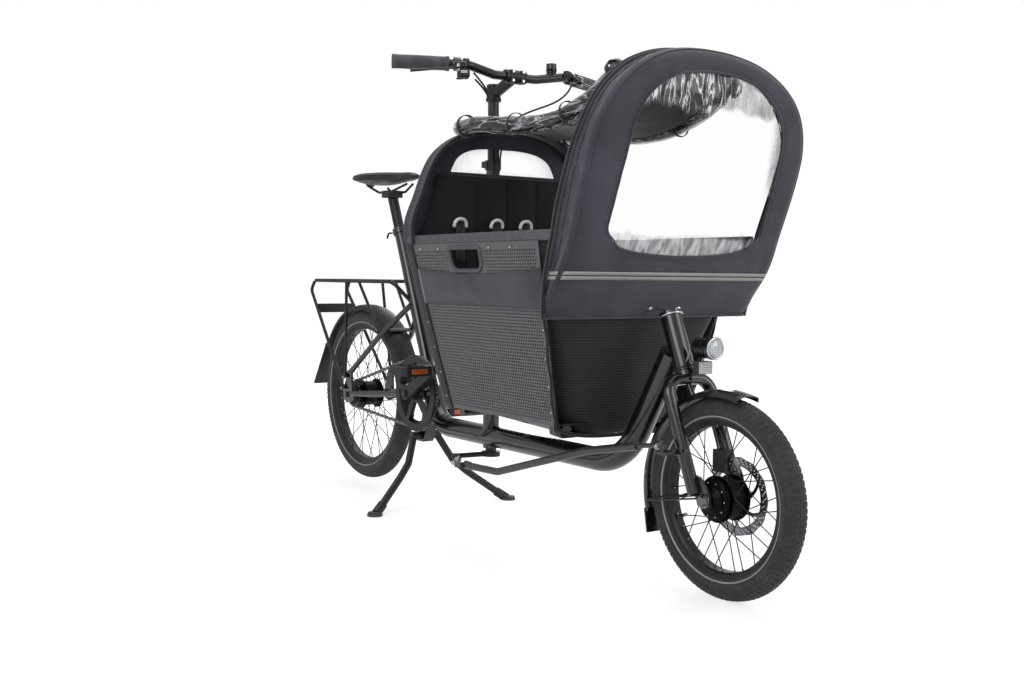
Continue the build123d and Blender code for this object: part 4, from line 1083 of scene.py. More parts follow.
class Plate:
    """A flat plate cut from an outline, with holes and optional round perforations."""

    tree: Nodes | None = None

    @classmethod
    def nodes(cls) -> Nodes:
        """The tree: hole circles on points, filled with the outline and extruded."""
        if cls.tree:
            return cls.tree
        n = Nodes("perforated_plate")
        radius = n.size("Hole Radius")
        sides = n.size("Hole Sides", "NodeSocketInt")
        wall = n.size("Wall")
        hole = n.add("GeometryNodeCurvePrimitiveCircle", {"Resolution": sides, "Radius": radius})
        spot = n.add("GeometryNodeInputNamedAttribute", {"Name": "hole"}, data_type="BOOLEAN")
        copies = n.add("GeometryNodeInstanceOnPoints", {"Points": n.start.outputs[0], "Instance": hole.outputs[0],
                                                        "Selection": spot.outputs[0]})
        rims = n.add("GeometryNodeMeshToCurve", {"Mesh": n.start.outputs[0]})
        holes = n.add("GeometryNodeRealizeInstances", {"Geometry": copies.outputs[0]})
        both = n.add("GeometryNodeJoinGeometry")
        n.tree.links.new(rims.outputs[0], both.inputs[0])
        n.tree.links.new(holes.outputs[0], both.inputs[0])
        fill = n.add("GeometryNodeFillCurve", {"Curve": both.outputs[0]})
        lift = n.add("GeometryNodeExtrudeMesh", {"Mesh": fill.outputs[0], "Offset Scale": wall,
                                                 "Individual": False})
        back = n.add("GeometryNodeFlipFaces", {"Mesh": fill.outputs[0]})
        joined = n.add("GeometryNodeJoinGeometry")
        n.tree.links.new(lift.outputs[0], joined.inputs[0])
        n.tree.links.new(back.outputs[0], joined.inputs[0])
        n.finish(joined.outputs[0])
        cls.tree = n
        return n

    @classmethod
    def cut(cls, name: str, rims: Sequence[Sequence[tuple[float, float]]], wall: float, where: Matrix,
            finish: Finish, body: str = "frame", holes: Sequence[tuple[float, float]] = (),
            hole_r: float = 0.002, sides: int = 8) -> bpy.types.Object:
        """A plate of one thickness.

        Args:
            name: the piece's name.
            rims: the outline and any large cut-outs, as closed loops of (x, y) in metres.
            wall: thickness, upwards from the plane.
            where: the matrix of the plane.
            finish: what it is made of.
            body: the CAD body it moves with.
            holes: middles of the round perforations.
            hole_r: their radius.
            sides: corners of each perforation.
        Returns:
            The object.
        """
        points, edges = [], []
        for rim in rims:
            first = len(points)
            points += [(x, y, 0.0) for x, y in rim]
            edges += [(first + i, first + (i + 1) % len(rim)) for i in range(len(rim))]
        solid = len(points)
        points += [(x, y, 0.0) for x, y in holes]
        mesh = bpy.data.meshes.new(name + "_rims")
        mesh.from_pydata(points, edges, [])
        layer = mesh.attributes.new("hole", "BOOLEAN", "POINT")
        layer.data.foreach_set("value", [i >= solid for i in range(len(points))])
        base = bpy.data.objects.new(name + "_rims", mesh)
        bpy.context.scene.collection.objects.link(base)
        made = cls.nodes().run(base, finish, Hole_Radius=hole_r, Hole_Sides=sides, Wall=wall)
        made.transform(where)
        turn_out(made, 1e-7)
        return settle(name, made, finish, body, smooth=False)


# ---------------------------------------------------------------- the box and its canopy
def interp(table: Sequence[tuple[float, float]], t: float) -> float:
    """A smooth value between the rows of a rising (t, value) table.

    Args:
        table: rows of (t, value).
        t: where to read it.
    Returns:
        The value.
    """
    if t <= table[0][0]:
        return table[0][1]
    for i in range(len(table) - 1):
        (t0, a), (t1, b) = table[i], table[i + 1]
        if t <= t1:
            before = table[i - 1] if i else (t0 - (t1 - t0), a - (b - a))
            after = table[i + 2] if i + 2 < len(table) else (t1 + (t1 - t0), b + (b - a))
            m0 = (b - before[1]) / (t1 - before[0]) * (t1 - t0)
            m1 = (after[1] - a) / (after[0] - t0) * (t1 - t0)
            s = (t - t0) / (t1 - t0)
            return ((2 * s ** 3 - 3 * s * s + 1) * a + (s ** 3 - 2 * s * s + s) * m0
                    + (3 * s * s - 2 * s ** 3) * b + (s ** 3 - s * s) * m1)
    return table[-1][1]


def ripple(p: Vector, size: float, height: float, seed: float = 0) -> float:
    """Smooth seeded unevenness.

    Args:
        p: the place, in metres.
        size: the width of a ripple, in metres.
        height: its greatest height, in metres.
        seed: which pattern.
    Returns:
        An offset in metres.
    """
    return noise.noise(Vector((p[0] / size + seed, p[1] / size - seed, p[2] / size + 0.5 * seed))) * height


@dataclass
class BoxShape:
    """The sizes that the walls, bands and cloths of the load box share, in millimetres."""

    floor_z: float = 323.0
    top_z: float = 713.0
    half_low: float = 187.0
    half_top: float = 284.0
    rear_low_x: float = 762.0
    rear_top_x: float = 731.0
    strip: float = 34.0
    front_x: float = 1207.0
    front_lean: float = 62.0

    @property
    def tilt(self) -> float:
        """How far the side walls lean outwards, in radians."""
        return math.atan2(self.half_top - self.half_low, self.top_z - self.floor_z)

    def edge(self, z: float) -> float:
        """Where the side wall ends in front at a height."""
        return self.front_x + self.front_lean * self.share(z)

    def share(self, z: float) -> float:
        """How far up the wall a height is, from 0 to 1."""
        return (z - self.floor_z) / (self.top_z - self.floor_z)

    def half(self, z: float) -> float:
        """Half the box's width at a height."""
        return self.half_low + (self.half_top - self.half_low) * self.share(z)

    def rear(self, z: float) -> float:
        """Where the rear wall stands at a height."""
        return self.rear_low_x + (self.rear_top_x - self.rear_low_x) * self.share(z)

    def wall(self, x: float, z: float, out: float = 0) -> Vector:
        """A point on the right wall, moved outwards."""
        return at(x, -(self.half(z) + out * math.cos(self.tilt)), z - out * math.sin(self.tilt))


@dataclass
class SideWalls:
    """Perforated metal walls with their handle rims, cloth bands, hems and screws."""

    box: BoxShape = field(default_factory=BoxShape)
    pitch: float = 8.6
    hole_r: float = 2.65
    handle: tuple[float, float, float, float] = (926.0, 1046.0, 656.0, 700.0)
    row_share: float = 0.82
    unpierced: tuple[float, float] = (582.0, 640.0)
    band_end: float = 1268.0
    plate_wall: float = 3.0
    edge_screws: tuple[float, ...] = (352, 410, 470, 530)
    top_screws: tuple[float, ...] = (800, 880, 1090, 1170)
    band_flat: tuple[float, float] = (0.52, 0.09)
    band_steps: int = 44

    def front(self, z: float) -> float:
        """Where the wall's front edge stands at a height."""
        return self.box.edge(z) + 2

    def handle_line(self, grow: float = 0, radius: float = 20, steps: int = 8) -> list[tuple[float, float]]:
        """The handle's outline, straight on top and rounded below, as (x, z).

        Args:
            grow: how far outside the opening it runs.
            radius: of the lower corners.
            steps: points on a corner.
        Returns:
            The outline.
        """
        x0, x1, z0, z1 = self.handle
        x0, x1, z0, z1, radius = x0 - grow, x1 + grow, z0 - grow, z1 + grow, radius + grow
        line = [(x0 + 5, z1), (x1 - 5, z1), (x1, z1 - 5)]
        for i in range(steps + 1):
            a = math.radians(90 * i / steps)
            line.append((x1 - radius + radius * math.cos(a), z0 + radius - radius * math.sin(a)))
        for i in range(steps + 1):
            a = math.radians(90 * i / steps)
            line.append((x0 + radius - radius * math.sin(a), z0 + radius - radius * math.cos(a)))
        return line + [(x0, z1 - 5)]

    def plate(self) -> bpy.types.Object:
        """The right wall: a plate with a handle opening and rows of small holes."""
        b = self.box
        lean = b.tilt
        out = Vector((0, -math.cos(lean), -math.sin(lean)))
        rise = 1 / math.cos(lean)
        foot = at(0, -b.half(b.floor_z), b.floor_z)

        def flat(x: float, z: float) -> tuple[float, float]:
            """A point of the wall in the plate's own plane."""
            return x / 1000, (z - b.floor_z) * rise / 1000
        top = b.top_z + 0.5
        rim = [flat(b.rear(b.floor_z) + b.strip - 6, b.floor_z), flat(self.front(b.floor_z), b.floor_z),
               flat(self.front(top), top), flat(b.rear(top) + b.strip - 6, top)]
        x0, x1, z0, _ = self.handle
        holes = []
        rows = int((b.top_z - b.floor_z - 22) / (self.pitch * self.row_share))
        for r in range(rows):
            z = b.floor_z + 12 + r * self.pitch * self.row_share
            if self.unpierced[0] < z < self.unpierced[1]:
                continue
            x = b.rear(z) + b.strip + 10 + (self.pitch / 2 if r % 2 else 0)
            while x < self.front(z) - 12:
                near = x0 - 15 < x < x1 + 15 and z > z0 - 15
                if not near and z < b.top_z - 14:
                    holes.append(flat(x, z))
                x += self.pitch
        wall = self.plate_wall / 1000
        where = plane(foot - out * wall, (1, 0, 0), out)
        return Plate.cut("wall_right", [rim, [flat(x, z) for x, z in self.handle_line(0)]], wall, where, PANEL,
                         holes=holes, hole_r=self.hole_r / 1000, sides=6)

    def rim(self) -> bpy.types.Object:
        """The raised rounded frame round the handle."""
        line = [self.box.wall(x, z, 0.4) for x, z in self.handle_line(3.5, steps=6)]
        rows = []
        for i, p in enumerate(line):
            along = (line[(i + 1) % len(line)] - line[i - 1]).normalized()
            out = WALL_OUT
            side = along.cross(out).normalized()
            out = side.cross(along)
            rows.append([p + side * math.cos(a) * 0.005 + out * math.sin(a) * 0.0045 for a in circle(8)])
        points, faces = loft(rows + [rows[0]], True)
        return piece("handle_rim_right", points, faces, RAILGREY, weld=True)

    def band(self) -> bpy.types.Object:
        """The cloth band round the wall, its top edge sagging between its ends."""
        rows = []
        steps = self.band_steps
        for k in range(13):
            v = k / 12
            row = []
            for i in range(steps + 1):
                u = i / steps
                belly = 2.2 + 5.0 * math.sin(math.pi * v) * (0.4 + 0.6 * math.sin(math.pi * u))
                p = self.band_spot(u, v, belly)
                p.y -= ripple(p, 0.05, 0.0016, 3)
                row.append(p)
            rows.append(row)
        points, faces = loft(rows)
        made = sheet("side_band_right", points, faces, BAND, 0.0014, 0, weld=False)
        return made

    def band_edges(self, u: float) -> tuple[float, float]:
        """The band's lower and upper edge at a share of its length."""
        return 575 + 2 * math.sin(u * 5), 656 - 11 * math.sin(math.pi * min(1, u * 1.05)) ** 0.8 + 3 * abs(u - 0.5)

    def band_spot(self, u: float, v: float, out: float) -> Vector:
        """A point of the band.

        Args:
            u: the share of its length, from the rear.
            v: the share of its height.
            out: how far it stands off the wall.
        Returns:
            The point.
        """
        x0 = self.box.rear(600) + self.box.strip - 2
        low, high = self.band_edges(u)
        return self.box.wall(x0 + (self.band_end - x0) * u, low + (high - low) * v, out)

    def hems(self) -> list[bpy.types.Object]:
        """Stitched hems along both edges of the band."""
        made = []
        for label, v in (("low", 0.02), ("top", 0.98)):
            line = [self.band_spot(i / self.band_steps, v, 2.6) for i in range(self.band_steps + 1)]
            made.append(tube(f"band_hem_{label}_right", line, 0.0019, BAND, sides=6))
        return made

    def bolts(self) -> bpy.types.Object:
        """Button-head screws down the front and rear edges of the wall."""
        b = self.box
        out = WALL_OUT
        spots = []
        for z in self.edge_screws:
            spots.append((b.wall(self.front(z) - 9, z, 1.2), out, AHEAD))
            spots.append((b.wall(b.rear(z) + b.strip - 12, z, 1.4), out, AHEAD))
        for x in self.top_screws:
            spots.append((b.wall(x, 702, 1.0), out, AHEAD))
        return Repeat.make("wall_screws_right", spots, Unit.BEAD, (0.0032, 0, 0), STEEL, sides=10, smooth=True)

    def build(self) -> None:
        """Both walls with what they carry."""
        plate = self.plate()
        right = [plate, self.rim(), self.band(), *self.hems(), self.bolts()]
        for made in right:
            left = mirrored(made, made.name.replace("right", "left"))
            if made.name == "side_band_right":
                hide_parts("side_bands")
            if made is plate:
                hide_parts("side_panels")


@dataclass
class FrontCloth:
    """The ribbed mesh cloth that closes the front of the box."""

    box: BoxShape = field(default_factory=BoxShape)
    top_x: float = 1346.0
    low_x: float = 1222.0
    half_top: float = 262.0
    half_low: float = 132.0
    low_z: float = 298.0
    top_z: float = 716.0
    hem: tuple[Point, ...] = ((1206, 188, 318), (1226, 150, 305), (1236, 96, 300), (1240, 0, 299))

    def ring(self, z: float, grow: float = 0) -> list[Vector]:
        """The cloth's line round the front at one height.

        Args:
            z: the height.
            grow: how far outside the cloth's own line.
        Returns:
            The line from right to left.
        """
        t = self.box.share(z)
        front = self.low_x + (self.top_x - self.low_x) * t + grow
        half_f = self.half_low + (self.half_top - self.half_low) * t + grow * 0.5
        half_r = self.box.half(z) + grow * 0.4
        right = [(1190, half_r - 4.5), (1215 + 52 * t, half_r - 5.5), (front - 62, (half_r * 0.55 + half_f * 0.45)),
                 (front - 34, half_f + 3), (front - 9, half_f - 21), (front, half_f - 52), (front + 1, half_f * 0.4)]
        if half_f < 150:
            right[3] = (front - 30, half_f + 8)
        pts = [at(x, -y, z) for x, y in right] + [at(front + 1.5, 0, z)] + [at(x, y, z) for x, y in reversed(right)]
        return spline(pts, 5)

    def build(self) -> None:
        """The tapering cloth with soft folds, closed below by its bottom panel."""
        rows = []
        steps = 40
        for k in range(steps + 1):
            v = k / steps
            z = self.low_z + (self.top_z - self.low_z) * v
            pull = -26 * max(0, 1 - v * 9) ** 2 * 0.5
            row = self.ring(z, pull)
            for i, p in enumerate(row):
                u = i / (len(row) - 1)
                soft = math.sin(math.pi * u)
                p.x += (ripple(p, 0.16, 0.007, 7) + ripple(p, 0.05, 0.002, 2)) * soft * (1 - 0.6 * v) - 0.0015
            rows.append(row)
        low = rows[0]
        middle = sum(low, Vector()) / len(low)
        inner = [[middle + (p - middle) * s + UP * (-0.004 * (1 - s)) for p in low]
                 for s in (0.02, 0.4, 0.75, 0.94)]
        points, faces = loft(inner + rows)
        made = sheet("front_cloth", points, faces, MESHCLOTH, 0.0018)
        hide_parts("front_mesh")
        for side, label in SIDES:
            line = [at(self.box.edge(z) + 2.5 * math.sin(k), side * (self.box.half(z) + 1.8), z)
                    for k, z in enumerate(range(312, 570, 14))]
            tube(f"front_cloth_edge_{label}", spline(line, 3), 0.0045, BLACKCLOTH, sides=8, flat=0.6, up=(0, 1, 0))
            tube(f"front_cloth_hem_{label}", side_line(self.hem, side, 8), 0.004, BLACKCLOTH, sides=8)


@dataclass
class Hood:
    """The front half of the canopy: one curved sheet with a clear window, tape, seams and hems."""

    low_z: float = 556.0
    spring_z: float = 868.0
    top_z: float = 1098.0
    half: float = 289.0
    soft: float = 24.0
    window_low: float = 713.0
    window_spring: float = 905.0
    window_top: float = 1046.0
    window_half: tuple[float, float] = (215.0, 205.0)
    tape_rows: tuple[tuple[str, float, float], ...] = (("upper", 644.2, 651.2), ("lower", 635.0, 642.0))
    hook: tuple[Point, ...] = ((1322, 46, 566), (1336, 38, 572), (1350, 26, 575), (1360, 14, 570), (1364, 9, 560))
    upright_steps: int = 22
    quarter_steps: int = 22
    foot_steps: int = 24
    gusset_shares: tuple[float, ...] = (0.12, 0.26, 0.42, 0.6, 0.78, 0.92, 1.0)
    arch_power: tuple[float, float] = (0.88, 0.94)
    front: tuple[tuple[float, float], ...] = ((556, 1301), (600, 1326), (650, 1364), (700, 1391), (780, 1420),
                                              (860, 1449), (950, 1473), (1020, 1481), (1060, 1480), (1098, 1470))
    back: tuple[tuple[float, float], ...] = ((556, 1290), (640, 1304), (740, 1326), (860, 1372), (940, 1403),
                                             (1020, 1411), (1098, 1404))

    def arch(self) -> list[tuple[float, float]]:
        """The outline from the right bottom over the top to the left bottom, as (y, z)."""
        across, up = self.arch_power
        right = []
        for i in range(self.upright_steps):
            z = self.low_z + (self.spring_z - self.low_z) * i / self.upright_steps
            right.append((-self.width(z), z))
        for i in range(self.quarter_steps + 1):
            t = math.radians(90.0 * i / self.quarter_steps)
            right.append((-self.half * math.cos(t) ** across,
                          self.spring_z + (self.top_z - self.spring_z) * math.sin(t) ** up))
        return right + [(-y, z) for y, z in reversed(right[:-1])]

    def width(self, z: float) -> float:
        """Half the hood's width below the arch, drawn in a little at the waist and at the bottom.

        Args:
            z: the height.
        Returns:
            Half the width.
        """
        low = max(0.0, (650 - z) / 94)
        waist = math.exp(-((z - 722) / 46) ** 2)
        return self.half - 2 * low * low * 3 - 4 * waist

    def window(self, grow: float = 0) -> list[tuple[float, float]]:
        """The window's outline matched point for point to the arch, as (y, z).

        Args:
            grow: how far outside the opening.
        Returns:
            The points.
        """
        low, spring, top = self.window_low, self.window_spring, self.window_top
        wide, wide_top = self.window_half
        right = []
        for i in range(self.upright_steps):
            t = i / self.upright_steps
            z = low + (spring - low) * t
            corner = 26 * max(0, 1 - (z - low) / 30) ** 2.2
            right.append((-(wide + (wide_top - wide) * t) - grow + corner, z))
        for i in range(self.quarter_steps + 1):
            t = math.radians(90.0 * i / self.quarter_steps)
            right.append((-(wide_top + grow) * math.cos(t) ** 0.86,
                          spring + (top + grow - spring) * math.sin(t) ** 0.95))
        return right + [(-y, z) for y, z in reversed(right[:-1])]

    def window_foot(self, half: float, grow: float = 0) -> list[tuple[float, float]]:
        """The window's lower edge from left to right, its ends rounded up.

        Args:
            half: half its length.
            grow: how far below the opening.
        Returns:
            The points, as (y, z).
        """
        steps = self.foot_steps
        return [(half * (1 - 2 * i / steps), self.window_low - grow - 28 * math.sin(math.pi * i / steps) ** 0.4)
                for i in range(1, steps)]

    def face_x(self, y: float, z: float) -> float:
        """Where the front panel stands at a place, its rim rounded back.

        Args:
            y, z: the place.
        Returns:
            How far forward the panel stands.
        """
        half = self.width(z) if z <= self.spring_z else self.arch_half(z)
        near = half - abs(y)
        if z > self.spring_z:
            near = min(near, (self.arch_top(y) - z))
        near = max(0.0, near)
        drop = 0.0
        if near < self.soft:
            drop = self.soft - math.sqrt(max(0.0, self.soft ** 2 - (self.soft - near) ** 2))
        bulge = 3.0 * (1 - (y / 290) ** 2) if z < 720 else 0
        return interp(self.front, z) - drop + bulge * 0.6

    def arch_half(self, z: float) -> float:
        """Half the arch's width at a height above its spring line."""
        t = min(1.0, (z - self.spring_z) / (self.top_z - self.spring_z)) ** (1 / self.arch_power[1])
        return self.half * math.sqrt(max(0.0, 1 - t * t)) ** self.arch_power[0]

    def arch_top(self, y: float) -> float:
        """The arch's height at a distance from the middle."""
        c = min(1.0, abs(y) / self.half) ** (1 / self.arch_power[0])
        return self.spring_z + (self.top_z - self.spring_z) * math.sqrt(max(0.0, 1 - c * c)) ** self.arch_power[1]

    def cloth(self, y: float, z: float, lift: float = 0) -> Vector:
        """A point on the front panel, with its soft folds.

        Args:
            y, z: the place.
            lift: how far in front of the cloth, in millimetres.
        Returns:
            The point.
        """
        p = at(self.face_x(y, z) + lift, y, z)
        fold = ripple(p, 0.1, 0.0036, 5) + ripple(p, 0.03, 0.001, 9)
        if z < 705:
            fold += ripple(Vector((p.y + p.z * 0.7, p.z * 0.3, 0)), 0.045, 0.0044, 4) * min(1, (705 - z) / 30)
        calm = min(1.0, max(0.0, (self.half - abs(y)) / 40))
        p.x += fold * calm
        return p

    def side(self, k: int, s: float) -> Vector:
        """A point on the gusset: from arch point k back to the hood's rear edge as s goes 0 to 1.

        Args:
            k: the arch point.
            s: the share of the way back.
        Returns:
            The point.
        """
        y, z = self.outline[k]
        x0 = self.face_x(y, z)
        x1 = interp(self.back, z)
        sink = 5.0 * math.sin(math.pi * s) * (1 if z < 900 else 0.5)
        inward = Vector((0, -y, -(z - 800) if z > self.spring_z else 0))
        inward.normalize()
        p = at(x0 + (x1 - x0) * s, y, z) + inward * sink / 1000
        crease = ripple(Vector((p.x + p.z * 0.8, p.y, p.z * 0.35)), 0.03, 0.0075, 11) + ripple(p, 0.09, 0.005, 14)
        return p + inward * crease * math.sin(math.pi * min(1, s * 1.15)) ** 1.5

    def build_sheet(self) -> None:
        """The sheet: window edge, front panel, rounded rim and gusset in one mesh."""
        self.outline = self.arch()
        wide, steps = self.width(self.low_z), self.foot_steps
        loop_out = self.outline + [(wide * (1 - 2 * i / steps), self.low_z - 3 * math.sin(math.pi * i / steps))
                                   for i in range(1, steps)]
        loop_in = self.window() + self.window_foot(189)
        shares = [0, 0.04, 0.1, 0.2, 0.32, 0.45, 0.58, 0.7, 0.8, 0.87, 0.92, 0.955, 0.98, 0.994, 1.0]
        rows = []
        for v in shares:
            row = []
            for (yo, zo), (yi, zi) in zip(loop_out, loop_in):
                y, z = yi + (yo - yi) * v, zi + (zo - zi) * v
                row.append(self.cloth(y, z))
            rows.append(row)
        points, faces = loft(rows, True)
        arch = range(len(self.outline))
        rim = [(len(rows) - 1) * len(loop_out) + k for k in arch]
        carry_on(points, faces, rim, [[self.side(k, s) for k in arch] for s in self.gusset_shares])
        made = sheet("hood_cloth", points, faces, NAVY, 0.0022, levels=1)
        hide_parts("canopy_front")

    def window_pane(self) -> None:
        """The clear foil, smooth in the middle and wrinkled along its top, left and bottom edges."""
        loop = self.window(6) + self.window_foot(195, 6)
        rows, crinkle, milk = [], [], []
        mid_z = 860.0
        for v in (0.1 + 0.9 * (k / 30) ** 0.8 for k in range(31)):
            rows.append([])
            for y0, z0 in loop:
                y, z = y0 * v, mid_z + (z0 - mid_z) * v
                edge = 972 + 6 * math.sin(y / 31) + 3 * math.sin(y / 9)
                # amount is how wrinkled the foil is; as the crinkle mask it also places the painted dark reflection and
                # painted highlight streaks
                amount = max(self.near(z, edge - 4, edge + 8), 0.9 * self.near(y, 176 - 0.1 * (z - 860), 200)
                             * self.near(z, 800, 860))
                cloud = self.near(-z, -727 - 3 * math.sin(y / 40), -720)
                p = at(self.face_x(y * 0.999, z) - 2.6, y, z)
                wave = ripple(Vector((p.y * 2.6, p.z * 0.5, 0)), 0.035, 0.005, 6) + ripple(p, 0.02, 0.0012, 8)
                p.x += wave * max(amount, 0.5 * cloud) - 0.0012 * amount
                rows[-1].append(p)
                crinkle.append(amount)
                milk.append(cloud)
        points, faces = loft(rows, True)
        faces.append(list(range(len(loop)))[::-1])
        made = piece("window_foil", points, faces, FOIL, None)
        mark(made, crinkle=crinkle, milk=milk)
        work = bmesh.new()
        work.from_mesh(made.data)
        bmesh.ops.triangulate(work, faces=[f for f in work.faces if len(f.verts) > 4])
        work.to_mesh(made.data)
        work.free()
        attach(made, "frame")
        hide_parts("front_window")

    @staticmethod
    def near(value: float, start: float, full: float) -> float:
        """0 before start, 1 after full, smooth between."""
        t = min(1.0, max(0.0, (value - start) / (full - start)))
        return t * t * (3 - 2 * t)

    def tapes(self) -> None:
        """Two lines of reflective tape round the front and both sides."""
        for label, z0, z1 in self.tape_rows:
            rows = []
            for z in (z0, (z0 + z1) / 2, z1):
                row = []
                half = self.width(z)
                k = min(range(len(self.outline) // 2), key=lambda i: abs(self.outline[i][1] - z))
                for i in range(9):
                    p = self.side(k, 1 - i / 9)
                    row.append(Vector((p.x, p.y - 0.0011, at(0, 0, z).z)))
                for i in range(61):
                    y = -half + 2 * half * i / 60
                    p = self.cloth(y, z)
                    lean = max(0.0, abs(y) - half + 16) / 16
                    row.append(p + Vector((0.0011 * (1 - lean * 0.5), math.copysign(0.0011 * lean, y), 0)))
                mirror = [Vector((p.x, -p.y, p.z)) for p in reversed(row[:9])]
                rows.append(row + mirror)
            points, faces = loft(rows)
            sheet(f"reflective_tape_{label}", points, faces, TAPE, 0.0005, 1, weld=False)

    def seams(self) -> None:
        """Piping on the rim, the gusset's seam, the hems and the window's stitched frame."""
        rim = [self.cloth(y * 0.985, z if z < self.spring_z else self.spring_z + (z - self.spring_z) * 0.975, 0.6)
               for y, z in self.outline]
        tube("rim_piping", spline(rim, 2), 0.0016, NAVY, sides=6)
        n = len(self.outline)
        gusset = [self.side(k, 0.52) * 1.0 for k in range(n)]
        out = [Vector((0, self.outline[k][0], max(0, self.outline[k][1] - 800))).normalized() for k in range(n)]
        tube("gusset_seam", [p + o * 0.0009 for p, o in zip(gusset, out)], 0.0013, NAVY, sides=6)
        for label, s, r in (("rear", 0.985, 0.0062), ("inner", 0.86, 0.0042)):
            line = [self.side(k, s) + out[k] * 0.0004 for k in range(n)]
            tube(f"hood_hem_{label}", line, lambda t, r=r: r * (0.85 + 0.15 * math.sin(math.pi * t)), BLACKCLOTH
                 if label == "rear" else NAVY, sides=8)
        for label, grow in (("inner", 1.5), ("outer", 11)):
            pts = [self.cloth(y, z, 0.7) for y, z in self.window(grow) + self.window_foot(190 + grow, grow)]
            if label == "inner":
                tube("window_binding", spline(pts, 2, True) + [pts[0]], 0.0021, NAVY, sides=6)
            else:
                smooth = spline(pts, 5, True)
                spots = []
                gap = 0.0
                for a, b in zip(smooth, smooth[1:]):
                    gap += (b - a).length
                    if gap > 0.0042:
                        gap = 0.0
                        spots.append((a + Vector((0.0004, 0, 0)), Vector((1, 0, 0.3)).normalized(),
                                      (b - a).normalized()))
                Repeat.make("window_stitches", spots, Unit.BRICK, (0.0028, 0.0007, 0.0006), NAVY)
        low = [self.cloth(self.width(self.low_z) * (1 - 2 * i / 40) * 0.99, self.low_z + 2, 0.6) for i in range(41)]
        tube("hood_hem_low", low, 0.003, NAVY, sides=8)

    def toggles(self) -> None:
        """Elastic hooks that hold the low edge to the head tube, each with a silver bead."""
        for side, label in SIDES:
            tube(f"hook_cord_{label}", side_line(self.hook, side, 6), 0.0022, HOSE, sides=8)
            turned(f"hook_bead_{label}", [(-0.006, 0), (-0.006, 0.0032), (-0.003, 0.0046), (0.003, 0.0046),
                                          (0.006, 0.0032), (0.006, 0)], at(1336, side * 38, 576), (0.2, side, 0.3),
                   SILVERRING, sides=14)

    def build(self) -> None:
        """The whole hood."""
        self.build_sheet()
        self.window_pane()
        self.tapes()
        self.seams()
        self.toggles()


@dataclass
class RearHoop:
    """The rear half of the canopy: an arched cloth panel with a D-shaped foil window and a deep rim."""

    x: float = 726.0
    depth: float = 46.0
    line: tuple[tuple[float, float], ...] = ((286, 714), (286, 770), (263, 830), (244, 880), (220, 925), (186, 958),
                                             (140, 984), (80, 999), (0, 1005))
    sill: tuple[float, float] = (158.0, 895.0)
    glass: tuple[tuple[float, float], ...] = ((158, 895), (150, 912), (138, 930), (116, 944), (84, 953), (42, 957),
                                              (0, 957))

    def outline(self, table: Sequence[tuple[float, float]], per: int = 6) -> list[tuple[float, float]]:
        """A table of (half width, height) made a smooth line from right to left."""
        pts = [Vector((-y, z, 0)) for y, z in table] + [Vector((y, z, 0)) for y, z in reversed(table[:-1])]
        return [(p.x, p.y) for p in spline(pts, per)]

    def build(self) -> None:
        """The panel, the rim, the foil and the piping."""
        outer = self.outline(self.line)
        inner = self.outline(self.glass, 8)
        need = len(outer)
        inner = [inner[round(i * (len(inner) - 1) / (need - 1))] for i in range(need)]
        rows = []
        for v in (0, 0.06, 0.2, 0.4, 0.6, 0.8, 0.93, 1.0):
            row = []
            for (yo, zo), (yi, zi) in zip(outer, inner):
                y, z = yi + (yo - yi) * v, zi + (zo - zi) * v
                p = at(self.x + 2.2, y, z)
                p.x += ripple(p, 0.06, 0.003, 12) * math.sin(math.pi * v) + 0.0015 * math.sin(math.pi * v)
                row.append(p)
            rows.append(row)
        points, faces = loft(rows)
        back = []
        for s in (0.06, 0.2, 0.45, 0.7, 0.9, 1.0):
            back.append([])
            for y, z in outer:
                sink = 2.5 * math.sin(math.pi * s)
                inward = Vector((0, -y, -(z - 800) if z > 860 else 0)).normalized()
                back[-1].append(at(self.x + 2.2 + (self.depth - 3) * s, y, z) + inward * (sink + 0.8) / 1000)
        carry_on(points, faces, [(len(rows) - 1) * need + k for k in range(need)], back)
        low = len(points)
        shelf = []
        wide, top = self.sill
        for i in range(21):
            share = 2 * i / 20 - 1
            for z in (top, 860, 800, 750, 716):
                shelf.append(at(self.x + 2.2, share * (wide + 128 * (top - z) / 181), z))
        for i in range(20):
            for j in range(4):
                a = low + i * 5 + j
                faces.append([a, a + 5, a + 6, a + 1])
        points += shelf
        made = sheet("rear_hoop_cloth", points, faces, NAVY, 0.0018)
        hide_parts("canopy_rear")
        edge = [at(self.x + self.depth - 1, y, z) for y, z in outer]
        tube("rear_hoop_hem", edge, 0.0045, BLACKCLOTH, sides=8)
        tube("rear_hoop_pole", [at(self.x + 9, y * 0.965, z - (6 if z > 760 else 0)) for y, z in outer], 0.005,
             BLACKCLOTH, sides=8)
        piping = [at(self.x + 24, -281 + 0.2 * i, 716 + i * 6.5) for i in range(8)]
        tube("rear_hoop_piping", spline(piping, 3), 0.0013, WHITERING, sides=6)
        self.foil(inner)

    def foil(self, inner: Sequence[tuple[float, float]]) -> None:
        """The clear pane, wrinkled near its rim.

        Args:
            inner: the window's outline.
        """
        points, faces, crinkle = [at(self.x + 1.6, 0, 920)], [], [0.0]
        loop = [(y * 1.02, z + (3 if z > 900 else -3)) for y, z in inner]
        loop += [(158 - 316 * i / 12, 892) for i in range(1, 12)]
        n = len(loop)
        for v in (0.5, 0.8, 1.0):
            for y, z in loop:
                # amount is how wrinkled the foil is; as the crinkle mask it also places the painted dark reflection and
                # painted highlight streaks
                amount = 0.55 * max(0.0, (v - 0.72) / 0.28)
                p = at(self.x + 1.6, y * v, 920 + (z - 920) * v)
                p.x += ripple(p, 0.02, 0.0014, 3) * amount
                points.append(p)
                crinkle.append(amount)
        for k in range(n):
            faces.append([0, 1 + k, 1 + (k + 1) % n])
        for i in range(2):
            for k in range(n):
                a, b = 1 + i * n + k, 1 + i * n + (k + 1) % n
                faces.append([a, a + n, b + n, b])
        made = piece("rear_foil", points, faces, FOIL, None)
        mark(made, crinkle=crinkle)
        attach(made, "frame")
        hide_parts("rear_window")


